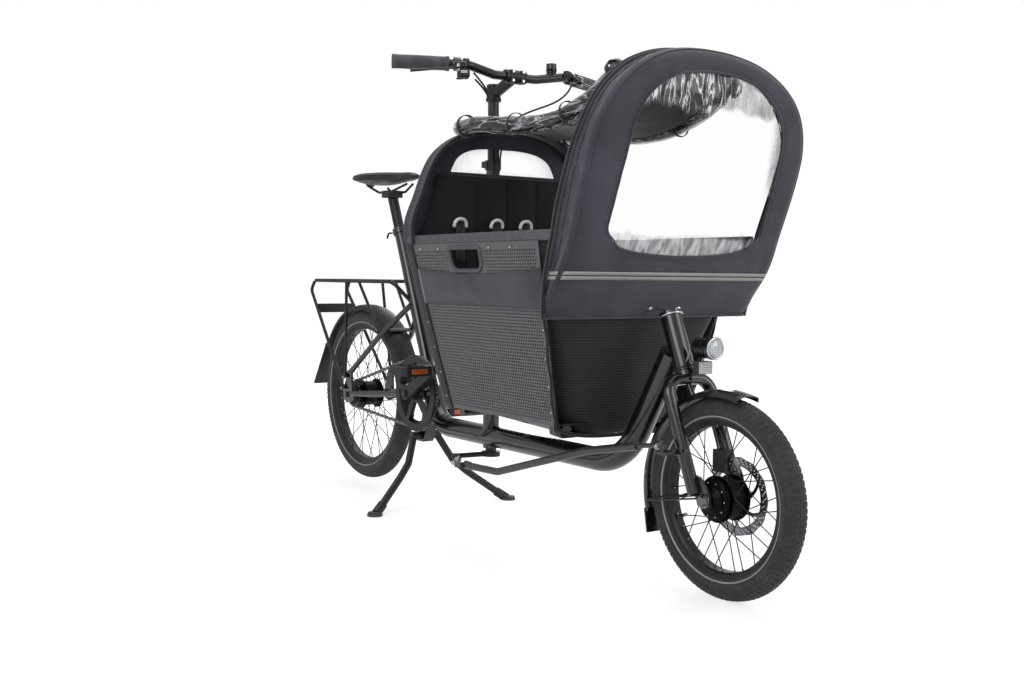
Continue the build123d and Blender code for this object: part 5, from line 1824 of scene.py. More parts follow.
@dataclass
class Roof:
    """The cloth strip over the middle and the foils rolled up along its edges."""

    half: float = 132.0
    roll_r: float = 25.0
    rise: float = 12.0
    core_r: float = 7.5
    turns: float = 3.0
    roll_flat: tuple[float, float] = (0.68, 0.36)
    band_shares: tuple[tuple[float, float], ...] = ((0.06, 0.012), (0.34, 0.006), (0.62, 0.006), (0.93, 0.014))
    edge: tuple[tuple[float, float, float], ...] = ((772.3, 984.5, 18.5), (850, 986, 17), (960, 973, 16),
                                                    (1085, 963, 16), (1180, 968, 16), (1270, 992, 18),
                                                    (1342, 1027, 22), (1404, 1070, 25))

    @property
    def roll_y(self) -> float:
        """How far from the middle a roll lies."""
        return self.half + math.sqrt((self.roll_r + 0.3) ** 2 - (0.8 * (self.rise - 3)) ** 2)

    def strip(self) -> None:
        """The crowned strip with its edge bindings."""
        marks = spline([Vector((x, z, r)) for x, z, r in self.edge], 6)
        rows = []
        for m in marks:
            row = []
            for i in range(17):
                y = -self.half + 2 * self.half * i / 16
                p = at(m.x, y, m.y + 2.4 + m.z * (1 - (y / self.half) ** 2))
                p.z += ripple(p, 0.06, 0.003, 15) * (1 - (y / self.half) ** 4)
                row.append(p)
            rows.append(row)
        points, faces = loft(rows)
        made = piece("roof_cloth", points, faces, BLACKCLOTH, None, weld=True)
        if made.data.polygons[0].normal.z < 0:
            made.data.flip_normals()
        made = thick(made, 0.0018, -1, levels=1)
        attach(made, "frame")
        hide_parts("roof_strip")
        for side, label in SIDES:
            line = [at(m.x, side * (self.half - 1), m.y + 2.2) for m in marks]
            tube(f"roof_binding_{label}", line, 0.0028, BLACKCLOTH, sides=8)

    def middle(self) -> list[Vector]:
        """The right roll's middle line, smoothed."""
        pts = [at(x, -self.roll_y, z + self.rise) for x, z, _ in self.edge[:-1]]
        pts[0].x += 0.0006
        x, z, _ = self.edge[-1]
        pts.append(pts[-1] + (at(x, -self.roll_y, z + self.rise) - pts[-1]).normalized() * 0.036)
        return spline(pts, 8)

    def roll(self) -> bpy.types.Object:
        """A foil wound loosely in three turns, with creases along it and open ends."""
        line = self.middle()
        per = 26
        rows, crinkle = [], []
        for i, (p, (_, side, top)) in enumerate(zip(line, frames(line))):
            s = i / (len(line) - 1)
            row = []
            count = int(self.turns * per)
            for k in range(count + 1):
                a = math.tau * k / per + 0.5 * math.sin(3 * s)
                r = self.core_r + (self.roll_r - 1.6 - self.core_r) * (k / count) ** 0.8
                flat = 1 - 0.1 * (0.5 + 0.5 * math.sin(9 * s + 1))
                q = p + side * math.cos(a) * r / 1000 + top * math.sin(a) * r * flat / 1000
                q += (q - p).normalized() * min(0.0012, ripple(Vector((q.x * 0.25, q.y, q.z)), 0.016, 0.0022, 21))
                row.append(q)
                # crinkle places the painted dark reflection and painted highlight streaks all over the roll
                crinkle.append(0.5 + 0.4 * min(1, abs(noise.noise(q * 9)) * 2))
            rows.append(row)
        points, faces = loft(rows)
        made = piece("rolled_foil_right", points, faces, ROLLFOIL, None)
        mark(made, crinkle=crinkle)
        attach(made, "frame")
        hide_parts("foil_roll_right")
        return made

    def core(self) -> bpy.types.Object:
        """The cloth hem wound at the middle of the roll."""
        line = self.middle()
        return tube("rolled_hem_right", line, lambda t: 0.0062 + 0.0008 * math.sin(25 * t), BLACKCLOTH, sides=10)

    def bands(self) -> list[bpy.types.Object]:
        """Elastic bands round the roll and a ring strap at the hood."""
        line = self.middle()
        made = []
        for n, (share, width) in enumerate(self.band_shares):
            i = int(share * (len(line) - 1))
            along, side, top = frames(line)[i]
            rows = []
            for w in (-0.5, -0.45, 0.45, 0.5):
                r = self.roll_r / 1000 + (0.0007 if abs(w) == 0.5 else 0.0022)
                rows.append([line[i] + along * width * w + side * math.cos(a) * r + top * math.sin(a) * r
                             for a in circle(40)])
            points, faces = loft(rows + [rows[0]], True)
            made.append(piece(f"roll_band_{n + 1}_right", points, faces, WEB, weld=True))
        return made

    def build(self) -> None:
        """The strip, and a roll on each side."""
        self.strip()
        roll = self.roll()
        pieces = [roll, self.core(), *self.bands()]
        for made in pieces:
            left = mirrored(made, made.name.replace("right", "left"))
            if made is roll:
                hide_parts("foil_roll_left")


@dataclass
class Seat:
    """The children's bench: a padded back with sewn channels, a cushion and the harness rings."""

    box: BoxShape = field(default_factory=BoxShape)
    channels: tuple[float, ...] = (-92.0, 0.0, 92.0)
    back_z: tuple[float, float] = (332.0, 888.0)
    cushion_z: tuple[float, float] = (413.0, 463.0)
    cushion_x: tuple[float, float] = (779.0, 987.0)
    ring_y: tuple[float, ...] = (-150.0, -43.0, 45.0, 150.0)
    ring_z: float = 764.0
    back_half: tuple[tuple[float, float], ...] = ((332, 180), (560, 236), (700, 262), (780, 232), (888, 202))
    welt_up: float = 26.0

    def wall_x(self, z: float) -> float:
        """Where the wall behind the bench stands at a height."""
        return self.box.rear(min(z, self.box.top_z))

    def back(self) -> None:
        """The padded back: crowned panels between vertical seams."""
        rows = []
        for k in range(31):
            v = k / 30
            z = self.back_z[0] + (self.back_z[1] - self.back_z[0]) * v
            half = interp(self.back_half, z)
            x_wall = self.wall_x(z) + 3
            row = []
            for i in range(61):
                u = i / 60 * 2 - 1
                y = u * half
                near = min(abs(y - c) for c in self.channels + (-half, half))
                puff = 1 - math.exp(-(near / 17) ** 1.4)
                fade = min(1, (1 - v) * 14) ** 0.5 * min(1, v * 10 + 0.2) ** 0.5
                p = at(x_wall + 8.5 + 6 * puff * fade, y, z)
                p.x += ripple(p, 0.05, 0.0022, 31) * puff
                row.append(p)
            rows.append(row)
        points, faces = loft(rows)
        made = piece("bench_back", points, faces, SEATCLOTH, None, weld=True)
        if made.data.polygons[len(made.data.polygons) // 2].normal.x < 0:
            made.data.flip_normals()
        made = thick(made, 0.007, -1, levels=1)

        def held(p: Vector) -> bool:
            """The back side, the seams and the edges stay."""
            z = (p.z - at(0, 0, 0).z) * 1000
            x = (p.x - at(0, 0, 0).x) * 1000
            half = interp(self.back_half, z) / 1000
            seam = min(abs(p.y - c / 1000) for c in self.channels) < 0.005 or abs(abs(p.y) - half) < 0.006
            return seam or z < 340 or z > 881 or x < self.wall_x(z) + 3 + 6
        made = swollen(made, held, 0.0045, 0.006)
        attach(made, "frame")
        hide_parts("seat_back")
        for n, y in enumerate(self.channels):
            line = [at(self.wall_x(z) + 12.6, y, z) for z in range(345, 884, 14)]
            tube(f"bench_seam_{n + 1}", line, 0.0012, SEATCLOTH, sides=6)

    def cushion(self) -> None:
        """The bench cushion, crowned, with a welt round its edge."""
        z0, z1 = self.cushion_z
        half0, half1 = self.box.half(z0) - 8, self.box.half(z1) - 8
        mid_z = z0 + self.welt_up
        rows = []
        for k in range(25):
            v = k / 24
            row = []
            for i in range(33):
                u = i / 32 * 2 - 1
                edge = (1 - abs(u) ** 6) ** 0.5
                x = self.cushion_x[0] + (self.cushion_x[1] - self.cushion_x[0]) * v
                front = (1 - abs(2 * v - 1) ** 8) ** 0.5
                top = mid_z + 16.5 * edge * front
                row.append((x, u * (half0 + half1) / 2, top))
            rows.append(row)
        upper = [[at(*p) for p in row] for row in rows]
        for row in upper:
            for p in row:
                p.z += ripple(p, 0.06, 0.002, 41)
        lower = [[at(x, y, mid_z - (z - mid_z) * 0.95) for x, y, z in row] for row in rows]
        points, faces = loft(upper)
        more, other = loft(lower)
        points += more
        faces += [[i + len(more) for i in f][::-1] for f in other]
        made = piece("bench_cushion", points, faces, SEATCLOTH, None, weld=True)
        floor = at(0, 0, z0 + 14).z
        welt = at(0, 0, mid_z).z
        made = swollen(made, lambda p: p.z < floor or abs(p.z - welt) < 0.003 and (
            abs(p.y) > half0 / 1000 - 0.01 or not at(786, 0, 0).x < p.x < at(980, 0, 0).x), 0.0045, 0.0065)
        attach(made, "frame")
        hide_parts("seat_cushion")

    def welts(self) -> None:
        """Piping round the cushion and stitches beside the back's seams."""
        mid_z = self.cushion_z[0] + self.welt_up
        half = self.box.half(mid_z) - 8.5
        x0, x1 = self.cushion_x
        corners = [(x0, -half), (x1, -half), (x1, half), (x0, half)]
        line = []
        for k, (x, y) in enumerate(corners):
            for i in range(12):
                a = math.radians(180 + 90 * k + 90 * i / 11)
                line.append(at(x + math.copysign(14, (x0 + x1) / 2 - x) + 14 * math.cos(a), y - math.copysign(14, y)
                               + 14 * math.sin(a), mid_z))
        tube("cushion_welt", line + [line[0]], 0.0026, SEATCLOTH, sides=8)
        spots = []
        for y in self.channels:
            for z in range(350, 880, 6):
                for off in (-4, 4):
                    spots.append((at(self.wall_x(z) + 14.5, y + off, z), AHEAD, UP))
        Repeat.make("bench_stitches", spots, Unit.BRICK, (0.0034, 0.0008, 0.0008), SEATCLOTH)

    def harness(self) -> None:
        """Four white C-shaped rings on short webbing loops."""
        z0 = self.ring_z
        for n, y in enumerate(self.ring_y):
            x = self.wall_x(z0) + 30
            line = []
            for i in range(15):
                a = math.radians(-20 + 220 * i / 14)
                line.append(at(x + 3 + 3 * math.sin(a), y + 17 * math.cos(a), z0 + 15 * math.sin(a)))
            tube(f"harness_ring_{n + 1}", line, 0.0043, WHITERING, sides=10)
            strap = spline([at(x - 6, y, z0 + 14), at(x + 3, y, z0 + 2), at(x + 6, y, z0 - 30),
                            at(x + 4, y, z0 - 90)], 6)
            rows = [[p + Vector((0, w, 0)) for w in (-0.012, 0.012)] for p in strap]
            points, faces = loft(rows)
            sheet(f"harness_strap_{n + 1}", points, faces, WEB, 0.0014, 0, weld=False)

    def build(self) -> None:
        """The whole bench."""
        self.back()
        self.cushion()
        self.welts()
        self.harness()


@dataclass
class RearWall:
    """The cloth-covered rear wall and the black edge strips of the side walls."""

    box: BoxShape = field(default_factory=BoxShape)
    low_z: float = 321.0
    top_z: float = 714.0

    def build(self) -> None:
        """The wall's cloth skin wrapped round onto both sides."""
        b = self.box
        rows = []
        for k in range(27):
            z = self.low_z + (self.top_z - self.low_z) * k / 26
            x = b.rear(z)
            half = b.half(z)
            right = [(x + b.strip + 1, half + 0.6), (x + b.strip * 0.6, half + 1.2), (x + 8, half + 0.9),
                     (x + 2, half - 1), (x - 0.8, half - 7), (x - 1.0, half * 0.6), (x - 1.0, half * 0.2)]
            row = [at(px, -py, z) for px, py in right] + [at(px, py, z) for px, py in reversed(right)]
            line = spline(row, 3)
            for p in line:
                p.x -= abs(ripple(p, 0.05, 0.002, 51))
            rows.append(line)
        points, faces = loft(rows)
        made = sheet("rear_wall_cloth", points, faces, BLACKCLOTH, 0.0022, 1)
        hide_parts("rear_wall")


# ---------------------------------------------------------------- wheels
@dataclass
class Wheel:
    """One wheel's tread, stripes, moulded lines, valve and nipples; sizes in millimetres."""

    name: str
    middle: Vector
    outer: float
    section: float
    rim_r: float
    spokes: int
    stripe: tuple[float, float]

    @property
    def body(self) -> str:
        """The CAD body that the wheel turns with."""
        return f"{self.name}_wheel"

    def spot(self, around: float, tilt: float, out: float = 0) -> Vector:
        """A point on the tyre: angle round the axle, angle round the section, height above it.

        Args:
            around: angle round the axle.
            tilt: angle round the section.
            out: height above the tyre.
        Returns:
            The point.
        """
        r = self.outer - self.section + (self.section + out) * math.cos(tilt)
        return self.middle + Vector((math.cos(around) * r, (self.section + out) * math.sin(tilt),
                                     math.sin(around) * r)) / 1000

    def normal(self, around: float, tilt: float) -> Vector:
        """Outwards from the tyre at that point."""
        return Vector((math.cos(around) * math.cos(tilt), math.sin(tilt), math.sin(around) * math.cos(tilt)))

    def tread(self) -> None:
        """Rows of blocks, small in the middle and longer on the shoulders."""
        count = int(math.tau * self.outer / 13.5)
        for label, tilts, size, twist in (("middle", (-9, 9), (0.0088, 0.0052, 0.0016), 0.35),
                                          ("inner", (-27, 27), (0.0092, 0.0072, 0.0018), -0.3),
                                          ("shoulder", (-45, 45), (0.0066, 0.0092, 0.0018), 0.2),
                                          ("edge", (-60, 60), (0.0036, 0.0062, 0.0012), 0.0)):
            spots = []
            for row, degrees in enumerate(tilts):
                tilt = math.radians(degrees)
                for i in range(count):
                    around = math.tau * (i + 0.5 * row) / count
                    run = Vector((-math.sin(around), 0, math.cos(around)))
                    run = Matrix.Rotation(twist * (1 if degrees > 0 else -1), 3, self.normal(around, tilt)) @ run
                    spots.append((self.spot(around, tilt, 0.1), self.normal(around, tilt), run))
            Repeat.make(f"{self.name}_tread_{label}", spots, Unit.BRICK, size, TYRE, self.body)

    def rings(self) -> None:
        """The light stripe and fine moulded lines on both sidewalls."""
        steps = 120
        for sign, label in SIDES:
            rows = []
            for i in range(steps + 1):
                around = math.tau * i / steps
                rows.append([self.spot(around, sign * math.radians(a), 0.35 if k in (1, 2, 3) else -0.2)
                             for k, a in enumerate((self.stripe[0], self.stripe[0] + 1,
                                                    (self.stripe[0] + self.stripe[1]) / 2,
                                                    self.stripe[1] - 1, self.stripe[1]))])
            points, faces = loft(rows)
            sheet(f"{self.name}_stripe_{label}", points, faces, SIDESTRIPE, 0.0004, 0, body=self.body)
            for n, degrees in enumerate((76, 84, self.stripe[0] - 5, self.stripe[1] + 6)):
                line = [self.spot(a, sign * math.radians(degrees), 0.1) for a in circle(96)]
                tube(f"{self.name}_line_{n + 1}_{label}", line + [line[0]], 0.0007, TYRE, self.body, sides=5)

    def rim(self) -> None:
        """Valve and spoke nipples."""
        around = math.radians(205)
        inward = -self.normal(around, 0)
        foot = self.middle - inward * (self.rim_r + 1) / 1000
        turned(f"{self.name}_valve", [(0, 0), (0, 0.0045), (0.003, 0.0045), (0.004, 0.003), (0.02, 0.003),
                                      (0.021, 0.0038), (0.032, 0.0036), (0.034, 0)], foot, inward, STEEL,
               self.body, sides=14)
        spots = []
        for i, a in enumerate(circle(self.spokes)):
            out = self.normal(a, 0)
            side = 3.0 if i % 2 else -3.0
            spots.append((self.middle + out * (self.rim_r - 5) / 1000 + Vector((0, side, 0)) / 1000, out, LEFT))
        Repeat.make(f"{self.name}_nipples", spots, Unit.PEG, (0.0021, 0, 0.011), STEEL, self.body, sides=8)

    def build(self) -> None:
        """All of it."""
        self.tread()
        self.rings()
        self.rim()


@dataclass
class HubMotor:
    """Steps, screws and nuts of the front hub motor, and its brake disc."""

    disc_r: float = 80.0
    ring_in: float = 63.0
    disc_y: float = 37.0
    cover_y: float = -30.0
    screw_r: float = 34.2
    screws: int = 10
    nut_y: float = 58.0
    bolt_r: float = 22.5
    arm_radii: tuple[float, ...] = (31, 38, 46, 54, 60)
    arm_half: float = 4.2

    def axle(self, y: float, radius: float, angle: float) -> Vector:
        """A point round the front axle."""
        return Vector(FRONT) + Vector((radius * math.cos(angle), y, radius * math.sin(angle))) / 1000

    def steps(self) -> None:
        """The machined side cover with its screws and nuts."""
        turned("motor_cover_right", [(0.0, 0.0), (0.0, 0.0405), (0.002, 0.0415), (0.0045, 0.0405), (0.006, 0.036),
                                     (0.0065, 0.030), (0.0105, 0.029), (0.0115, 0.018), (0.0145, 0.0165),
                                     (0.0155, 0.0)], self.axle(self.cover_y, 0, 0), (0, -1, 0), HUB, "front_wheel", 64)
        spots = [(self.axle(self.cover_y - 6.4, self.screw_r, a), -LEFT, AHEAD) for a in circle(self.screws)]
        Repeat.make("motor_screws", spots, Unit.BEAD, (0.0022, 0, 0), STEEL, "front_wheel", 8, True)
        for side, label in SIDES:
            turned(f"front_axle_nut_{label}", [(0, 0), (0, 0.0105), (0.002, 0.0115), (0.010, 0.0115),
                                               (0.0115, 0.010), (0.0115, 0)],
                   self.axle(side * self.nut_y, 0, 0), (0, side, 0), DARKSTEEL, "fork", 6, False)
            turned(f"front_axle_washer_{label}", [(0, 0), (0, 0.0135), (0.0018, 0.0135), (0.0018, 0)],
                   self.axle(side * (self.nut_y - 1), 0, 0), (0, side, 0), STEEL, "fork", 28, False)

    def disc(self) -> None:
        """A wavy brake disc: outer and inner edges scalloped, drilled, on six leaning arms."""
        outer, holes = [], []
        for a in circle(144):
            r = self.disc_r - 1.0 + 1.0 * math.cos(12 * a)
            outer.append((r * math.cos(a) / 1000, r * math.sin(a) / 1000))
        rims = [outer]

        def arm(k: int, r: float) -> float:
            """The angle of arm k at a radius."""
            return math.radians(60 * k + 35 * (r - 22) / 44)
        for k in range(6):
            loop = [(r, arm(k, r) + self.arm_half / r) for r in self.arm_radii]
            rim_r = self.ring_in - 1
            a0, a1 = arm(k, rim_r) + 5.5 / rim_r, arm(k + 1, rim_r) - 5.5 / rim_r
            for i in range(9):
                a = a0 + (a1 - a0) * i / 8
                loop.append((rim_r - 0.9 * math.sin(math.pi * i / 8), a))
            loop += [(r, arm(k + 1, r) - self.arm_half / r) for r in reversed(self.arm_radii)]
            rims.append([(r * math.cos(a) / 1000, r * math.sin(a) / 1000) for r, a in loop])
        rims.append([(0.0105 * math.cos(a), 0.0105 * math.sin(a)) for a in circle(24)])
        for i, a in enumerate(circle(36)):
            for r, shift in ((67.5, 0.0), (71.5, 0.055), (75.2, 0.1)):
                if i % 6 != 5 or r != 75.2:
                    holes.append((r * math.cos(a + shift) / 1000, r * math.sin(a + shift) / 1000))
        where = plane(self.axle(self.disc_y + 1.0, 0, 0), (1, 0, 0), (0, -1, 0))
        made = Plate.cut("brake_disc", rims, 0.002, where, DISC, "front_wheel", holes, 0.0016, 8)
        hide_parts("rotor")
        spots = [(self.axle(self.disc_y + 1.4, self.bolt_r, math.radians(60 * k + 12)), LEFT, AHEAD)
                 for k in range(6)]
        Repeat.make("disc_bolts", spots, Unit.PEG, (0.0042, 0, 0.0022), STEEL, "front_wheel", 12)

    def build(self) -> None:
        """The motor and disc."""
        self.steps()
        self.disc()


# ---------------------------------------------------------------- cockpit
@dataclass
class Cockpit:
    """Grips, brake levers, shifter, faceplate and bell fittings; all turn with the column."""

    bar: tuple[float, float] = (773.0, 1134.0)
    knee: tuple[float, float, float] = (13.0, 146.0, 13.0)
    end: tuple[float, float, float] = (-66.0, 306.0, 15.0)
    grip_in: tuple[float, float, float] = (-7.0, 186.0, 15.0)
    bell_foot: tuple[float, float, float] = (775.0, 112.0, 1150.0)
    column_x: float = 680.0
    lever_in: float = 26.0
    body: str = "column"

    def off_bar(self, side: int, offset: Point) -> Vector:
        """A point at an offset from the middle of the bar, on one side."""
        return at(self.bar[0] + offset[0], side * offset[1], self.bar[1] + offset[2])

    def line(self, side: int) -> tuple[Vector, Vector, Vector, Vector]:
        """The straight end of the bar: knee, end, its direction and the direction ahead of it.

        Args:
            side: -1 for right, 1 for left.
        Returns:
            Those four.
        """
        knee, end = self.off_bar(side, self.knee), self.off_bar(side, self.end)
        along = (end - knee).normalized()
        return knee, end, along, Vector((abs(along.y), side * abs(along.x), 0)).normalized()

    def turn(self, side: int) -> Matrix:
        """The rotation that lines a block up with the straight end of the bar."""
        _, _, along, ahead = self.line(side)
        return Matrix((ahead, along, UP)).transposed()

    def grips(self, side: int, label: str) -> None:
        """A grip with fine rings, an end cap and an inner clamp.

        Args:
            side: -1 for right, 1 for left.
            label: the side's name.
        """
        knee, end, along, _ = self.line(side)
        start = self.off_bar(side, self.grip_in)
        start = knee + along * (start - knee).dot(along)
        long = (end - start).length
        profile = [(0.0, 0.0112), (0.0, 0.0168), (0.0015, 0.0176), (0.007, 0.0176), (0.0085, 0.0164)]
        for k in range(1, 44):
            h = 0.0085 + (long - 0.016) * k / 44
            swell = 0.0163 + 0.0005 * math.sin(math.pi * k / 44)
            profile.append((h, swell + (0.00035 if k % 2 else -0.0003)))
        profile += [(long - 0.007, 0.0168), (long + 0.0015, 0.0172), (long + 0.0028, 0.0165), (long + 0.0034, 0.013),
                    (long + 0.0034, 0.0)]
        made = turned(f"grip_{label}", profile, start, along, GRIP, self.body, 40)
        if side < 0:
            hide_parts("grips")

    def lever(self, side: int, label: str) -> bpy.types.Object:
        """A brake lever: clamp, body and a long curved blade.

        Args:
            side: -1 for right, 1 for left.
            label: the side's name.
        Returns:
            The blade.
        """
        knee, _, along, ahead = self.line(side)
        base = knee + along * self.lever_in / 1000
        turned(f"lever_clamp_{label}", [(-0.009, 0.0115), (-0.009, 0.0155), (-0.0075, 0.0165), (0.0075, 0.0165),
                                        (0.009, 0.0155), (0.009, 0.0115)], base, along, GLOSSPLASTIC, self.body, 28)
        pivot = base + ahead * 0.034 + UP * -0.014
        core = spline([base + ahead * 0.012 + UP * -0.004, base + ahead * 0.024 - along * 0.004
                       + UP * -0.009, pivot + along * 0.003], 6)
        tube(f"lever_body_{label}", core, lambda t: 0.0095 - 0.001 * t, GLOSSPLASTIC, self.body, 16, 0.85)
        block(f"lever_housing_{label}", base + ahead * 0.022 - along * 0.003 + UP * -0.006,
              (0.03, 0.034, 0.015), GLOSSPLASTIC, self.body, 0.0055, self.turn(side), 4)
        turned(f"lever_pivot_{label}", [(-0.0095, 0), (-0.0095, 0.0042), (-0.008, 0.005), (0.008, 0.005),
                                        (0.0095, 0.0042), (0.0095, 0)], pivot, (0, 0, 1), STEEL, self.body, 18)
        tip = base + along * 0.118 + ahead * 0.046 + UP * -0.028
        blade = spline([pivot - along * 0.004, pivot + along * 0.018 + ahead * 0.006 + UP * -0.003,
                        pivot + along * 0.05 + ahead * 0.013 + UP * -0.007,
                        pivot + along * 0.085 + ahead * 0.012 + UP * -0.011, tip - along * 0.004
                        + ahead * 0.002], 8)
        return tube(f"lever_blade_{label}", blade, lambda t: 0.0055 - 0.0022 * math.sin(math.pi * min(1, t * 1.1)) ** 2
                    + 0.001 * max(0, t - 0.85) * 6, GLOSSPLASTIC, self.body, 14, 0.62)

    def shifter(self) -> None:
        """The shifter pod under the right side of the bar, with its window and thumb lever."""
        knee, _, along, ahead = self.line(-1)
        base = knee + along * self.lever_in / 1000
        middle = base - along * 0.014 + ahead * 0.018 + UP * -0.026
        turn = self.turn(-1)
        block("shifter_pod", middle, (0.033, 0.029, 0.021), PLASTIC, self.body, 0.0075, turn, 5)
        block("shifter_window", middle + ahead * 0.0155 + UP * 0.003, (0.003, 0.016, 0.007), LENS,
              self.body, 0.001, turn)
        lever = spline([middle + ahead * 0.002 + UP * -0.009, middle - ahead * 0.006 + along * 0.006
                        + UP * -0.0105, middle - ahead * 0.014 + along * 0.014 + UP * -0.009], 6)
        tube("shifter_thumb_lever", lever, 0.0035, PLASTIC, self.body, 12, 0.55)
        turned("shifter_band", [(-0.007, 0.0112), (-0.007, 0.0148), (0.007, 0.0148), (0.007, 0.0112)],
               base - along * 0.022, along, PLASTIC, self.body, 24)
        knee, _, along, ahead = self.line(1)
        spot = knee - along * 0.004 + ahead * 0.01 + UP * 0.004
        block("assist_buttons", spot, (0.014, 0.026, 0.02), PLASTIC, self.body, 0.005, self.turn(1), 4)

    def faceplate(self) -> None:
        """Four bolts and the split of the stem's faceplate, and the column's top cap."""
        x, z = self.bar
        spots = [(at(x + 16.4, y, z + h), AHEAD, UP) for y in (-15, 15) for h in (-11, 11)]
        Repeat.make("faceplate_bolts", spots, Unit.PEG, (0.0036, 0, 0.005), STEEL, self.body, 12)
        for y in (-15, 15):
            block(f"faceplate_lug_{'left' if y > 0 else 'right'}", at(x + 11.5, y, z), (0.011, 0.011, 0.031), SATIN,
                  self.body, 0.003, None, 3)
        turned("column_cap", [(0, 0), (0, 0.0178), (0.0035, 0.0184), (0.006, 0.0165), (0.0066, 0.0045),
                              (0.0045, 0.004), (0.0045, 0)], at(self.column_x, 0, 1121.5), (0, 0, 1), GLOSSPLASTIC,
               self.body, 32)
        for h, r in ((1086, 0.0196), (1104, 0.0192)):
            turned(f"column_band_{h}", [(0, 0.0142), (0, r), (0.0012, r + 0.0004), (0.0052, r + 0.0004),
                                        (0.0064, r), (0.0064, 0.0142)], at(self.column_x, 0, h), (0, 0, 1), SATIN,
                   self.body, 32)

    def bell(self) -> None:
        """The bell's dome, base ring and striker."""
        foot = at(*self.bell_foot)
        turned("bell_dome", [(0.0, 0), (0.0, 0.0128), (0.004, 0.0133), (0.0045, 0.0118), (0.0075, 0.0118),
                             (0.008, 0.0136), (0.019, 0.0136), (0.024, 0.0118), (0.0272, 0.006), (0.028, 0)],
               foot, (0, 0, 1), GLOSSPLASTIC, self.body, 32)
        tube("bell_striker", spline([foot + Vector((0.011, -0.004, 0.006)), foot + Vector((0.018, -0.008, 0.007)),
                                     foot + Vector((0.021, -0.011, 0.009))], 5), 0.0022, PLASTIC, self.body, 10)

    def build(self) -> None:
        """Both sides of the bar."""
        for side, label in SIDES:
            self.grips(side, label)
            blade = self.lever(side, label)
            if side < 0:
                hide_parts("controls")
        self.shifter()
        self.faceplate()
        self.bell()


@dataclass
class Saddle:
    """A padded saddle with a pressure channel, edge seam and a quick-release clamp."""

    x0: float = 8.5
    base: float = 905.0
    clamp: tuple[float, float] = (176.0, 762.0)
    stations: tuple[tuple[float, float, float, float], ...] = (
        (0, 40, 8, 32), (14, 66, 16, 31), (36, 76, 20, 29.5), (60, 77.5, 20.5, 28), (95, 71, 20, 27.5),
        (130, 57, 18.5, 27), (190, 31, 16.5, 26), (250, 23, 13.5, 25), (276, 15, 7, 24))

    def ring(self, x: float, half: float, tall: float, mid: float) -> list[Vector]:
        """One cross-section: a crowned top with a shallow channel over a hollow underside.

        Args:
            x: how far from its rear end.
            half: half the width.
            tall: the height over the middle line.
            mid: that line's height.
        Returns:
            The points round it.
        """
        row = []
        for a in circle(36):
            c, s = math.cos(a), math.sin(a)
            y = half * math.copysign(abs(c) ** 0.9, c)
            z = tall * math.copysign(abs(s) ** (0.92 if s > 0 else 1.3), s)
            if s > 0:
                z -= 3.2 * math.exp(-(y / 10) ** 2) * min(1, x / 30) * (1 if x < 240 else 0.3)
            elif s < 0:
                z *= 0.82
            row.append(at(self.x0 + x, y, self.base - 8 + mid + z))
        return row

    def build(self) -> None:
        """Cover, seams and the lever."""
        marks = spline([Vector(s[:3]) for s in self.stations], 5)
        mids = [interp([(s[0], s[3]) for s in self.stations], m.x) for m in marks]
        rows = [self.ring(m.x, m.y, m.z, mid) for m, mid in zip(marks, mids)]
        points, faces = loft(rows, True, caps=True)
        made = piece("saddle_cover", points, faces, SADDLE, weld=True)
        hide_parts("saddle")
        for side, label in SIDES:
            seam = [row[2 if side > 0 else 16] + Vector((0, side * 0.0003, 0.0002)) for row in rows[2:-2]]
            tube(f"saddle_seam_{label}", seam, 0.0011, SADDLE, sides=6)
            low = [row[34 if side > 0 else 20] + Vector((0, side * 0.0004, 0)) for row in rows[1:-1]]
            tube(f"saddle_edge_{label}", low, 0.002, PLASTIC, sides=8)
        turned("saddle_scuff_rear", [(-0.002, 0), (-0.002, 0.016), (0.0005, 0.017), (0.0025, 0.012), (0.003, 0)],
               at(8.6, 0, 921), (-1, 0, 0), PLASTIC, sides=28)
        x, z = self.clamp
        lever = spline([at(x + 2, -17, z), at(x - 5, -22, z + 1), at(x - 13, -23, z - 5), at(x - 18, -22, z - 14)], 6)
        tube("post_lever", lever, lambda t: 0.0042 - 0.001 * t, PLASTIC, sides=12, flat=0.6)
        turned("post_lever_nut", [(0, 0), (0, 0.0055), (0.006, 0.0065), (0.009, 0.0055), (0.009, 0)], at(x, 19, z),
               (0, 1, 0), STEEL, sides=16)


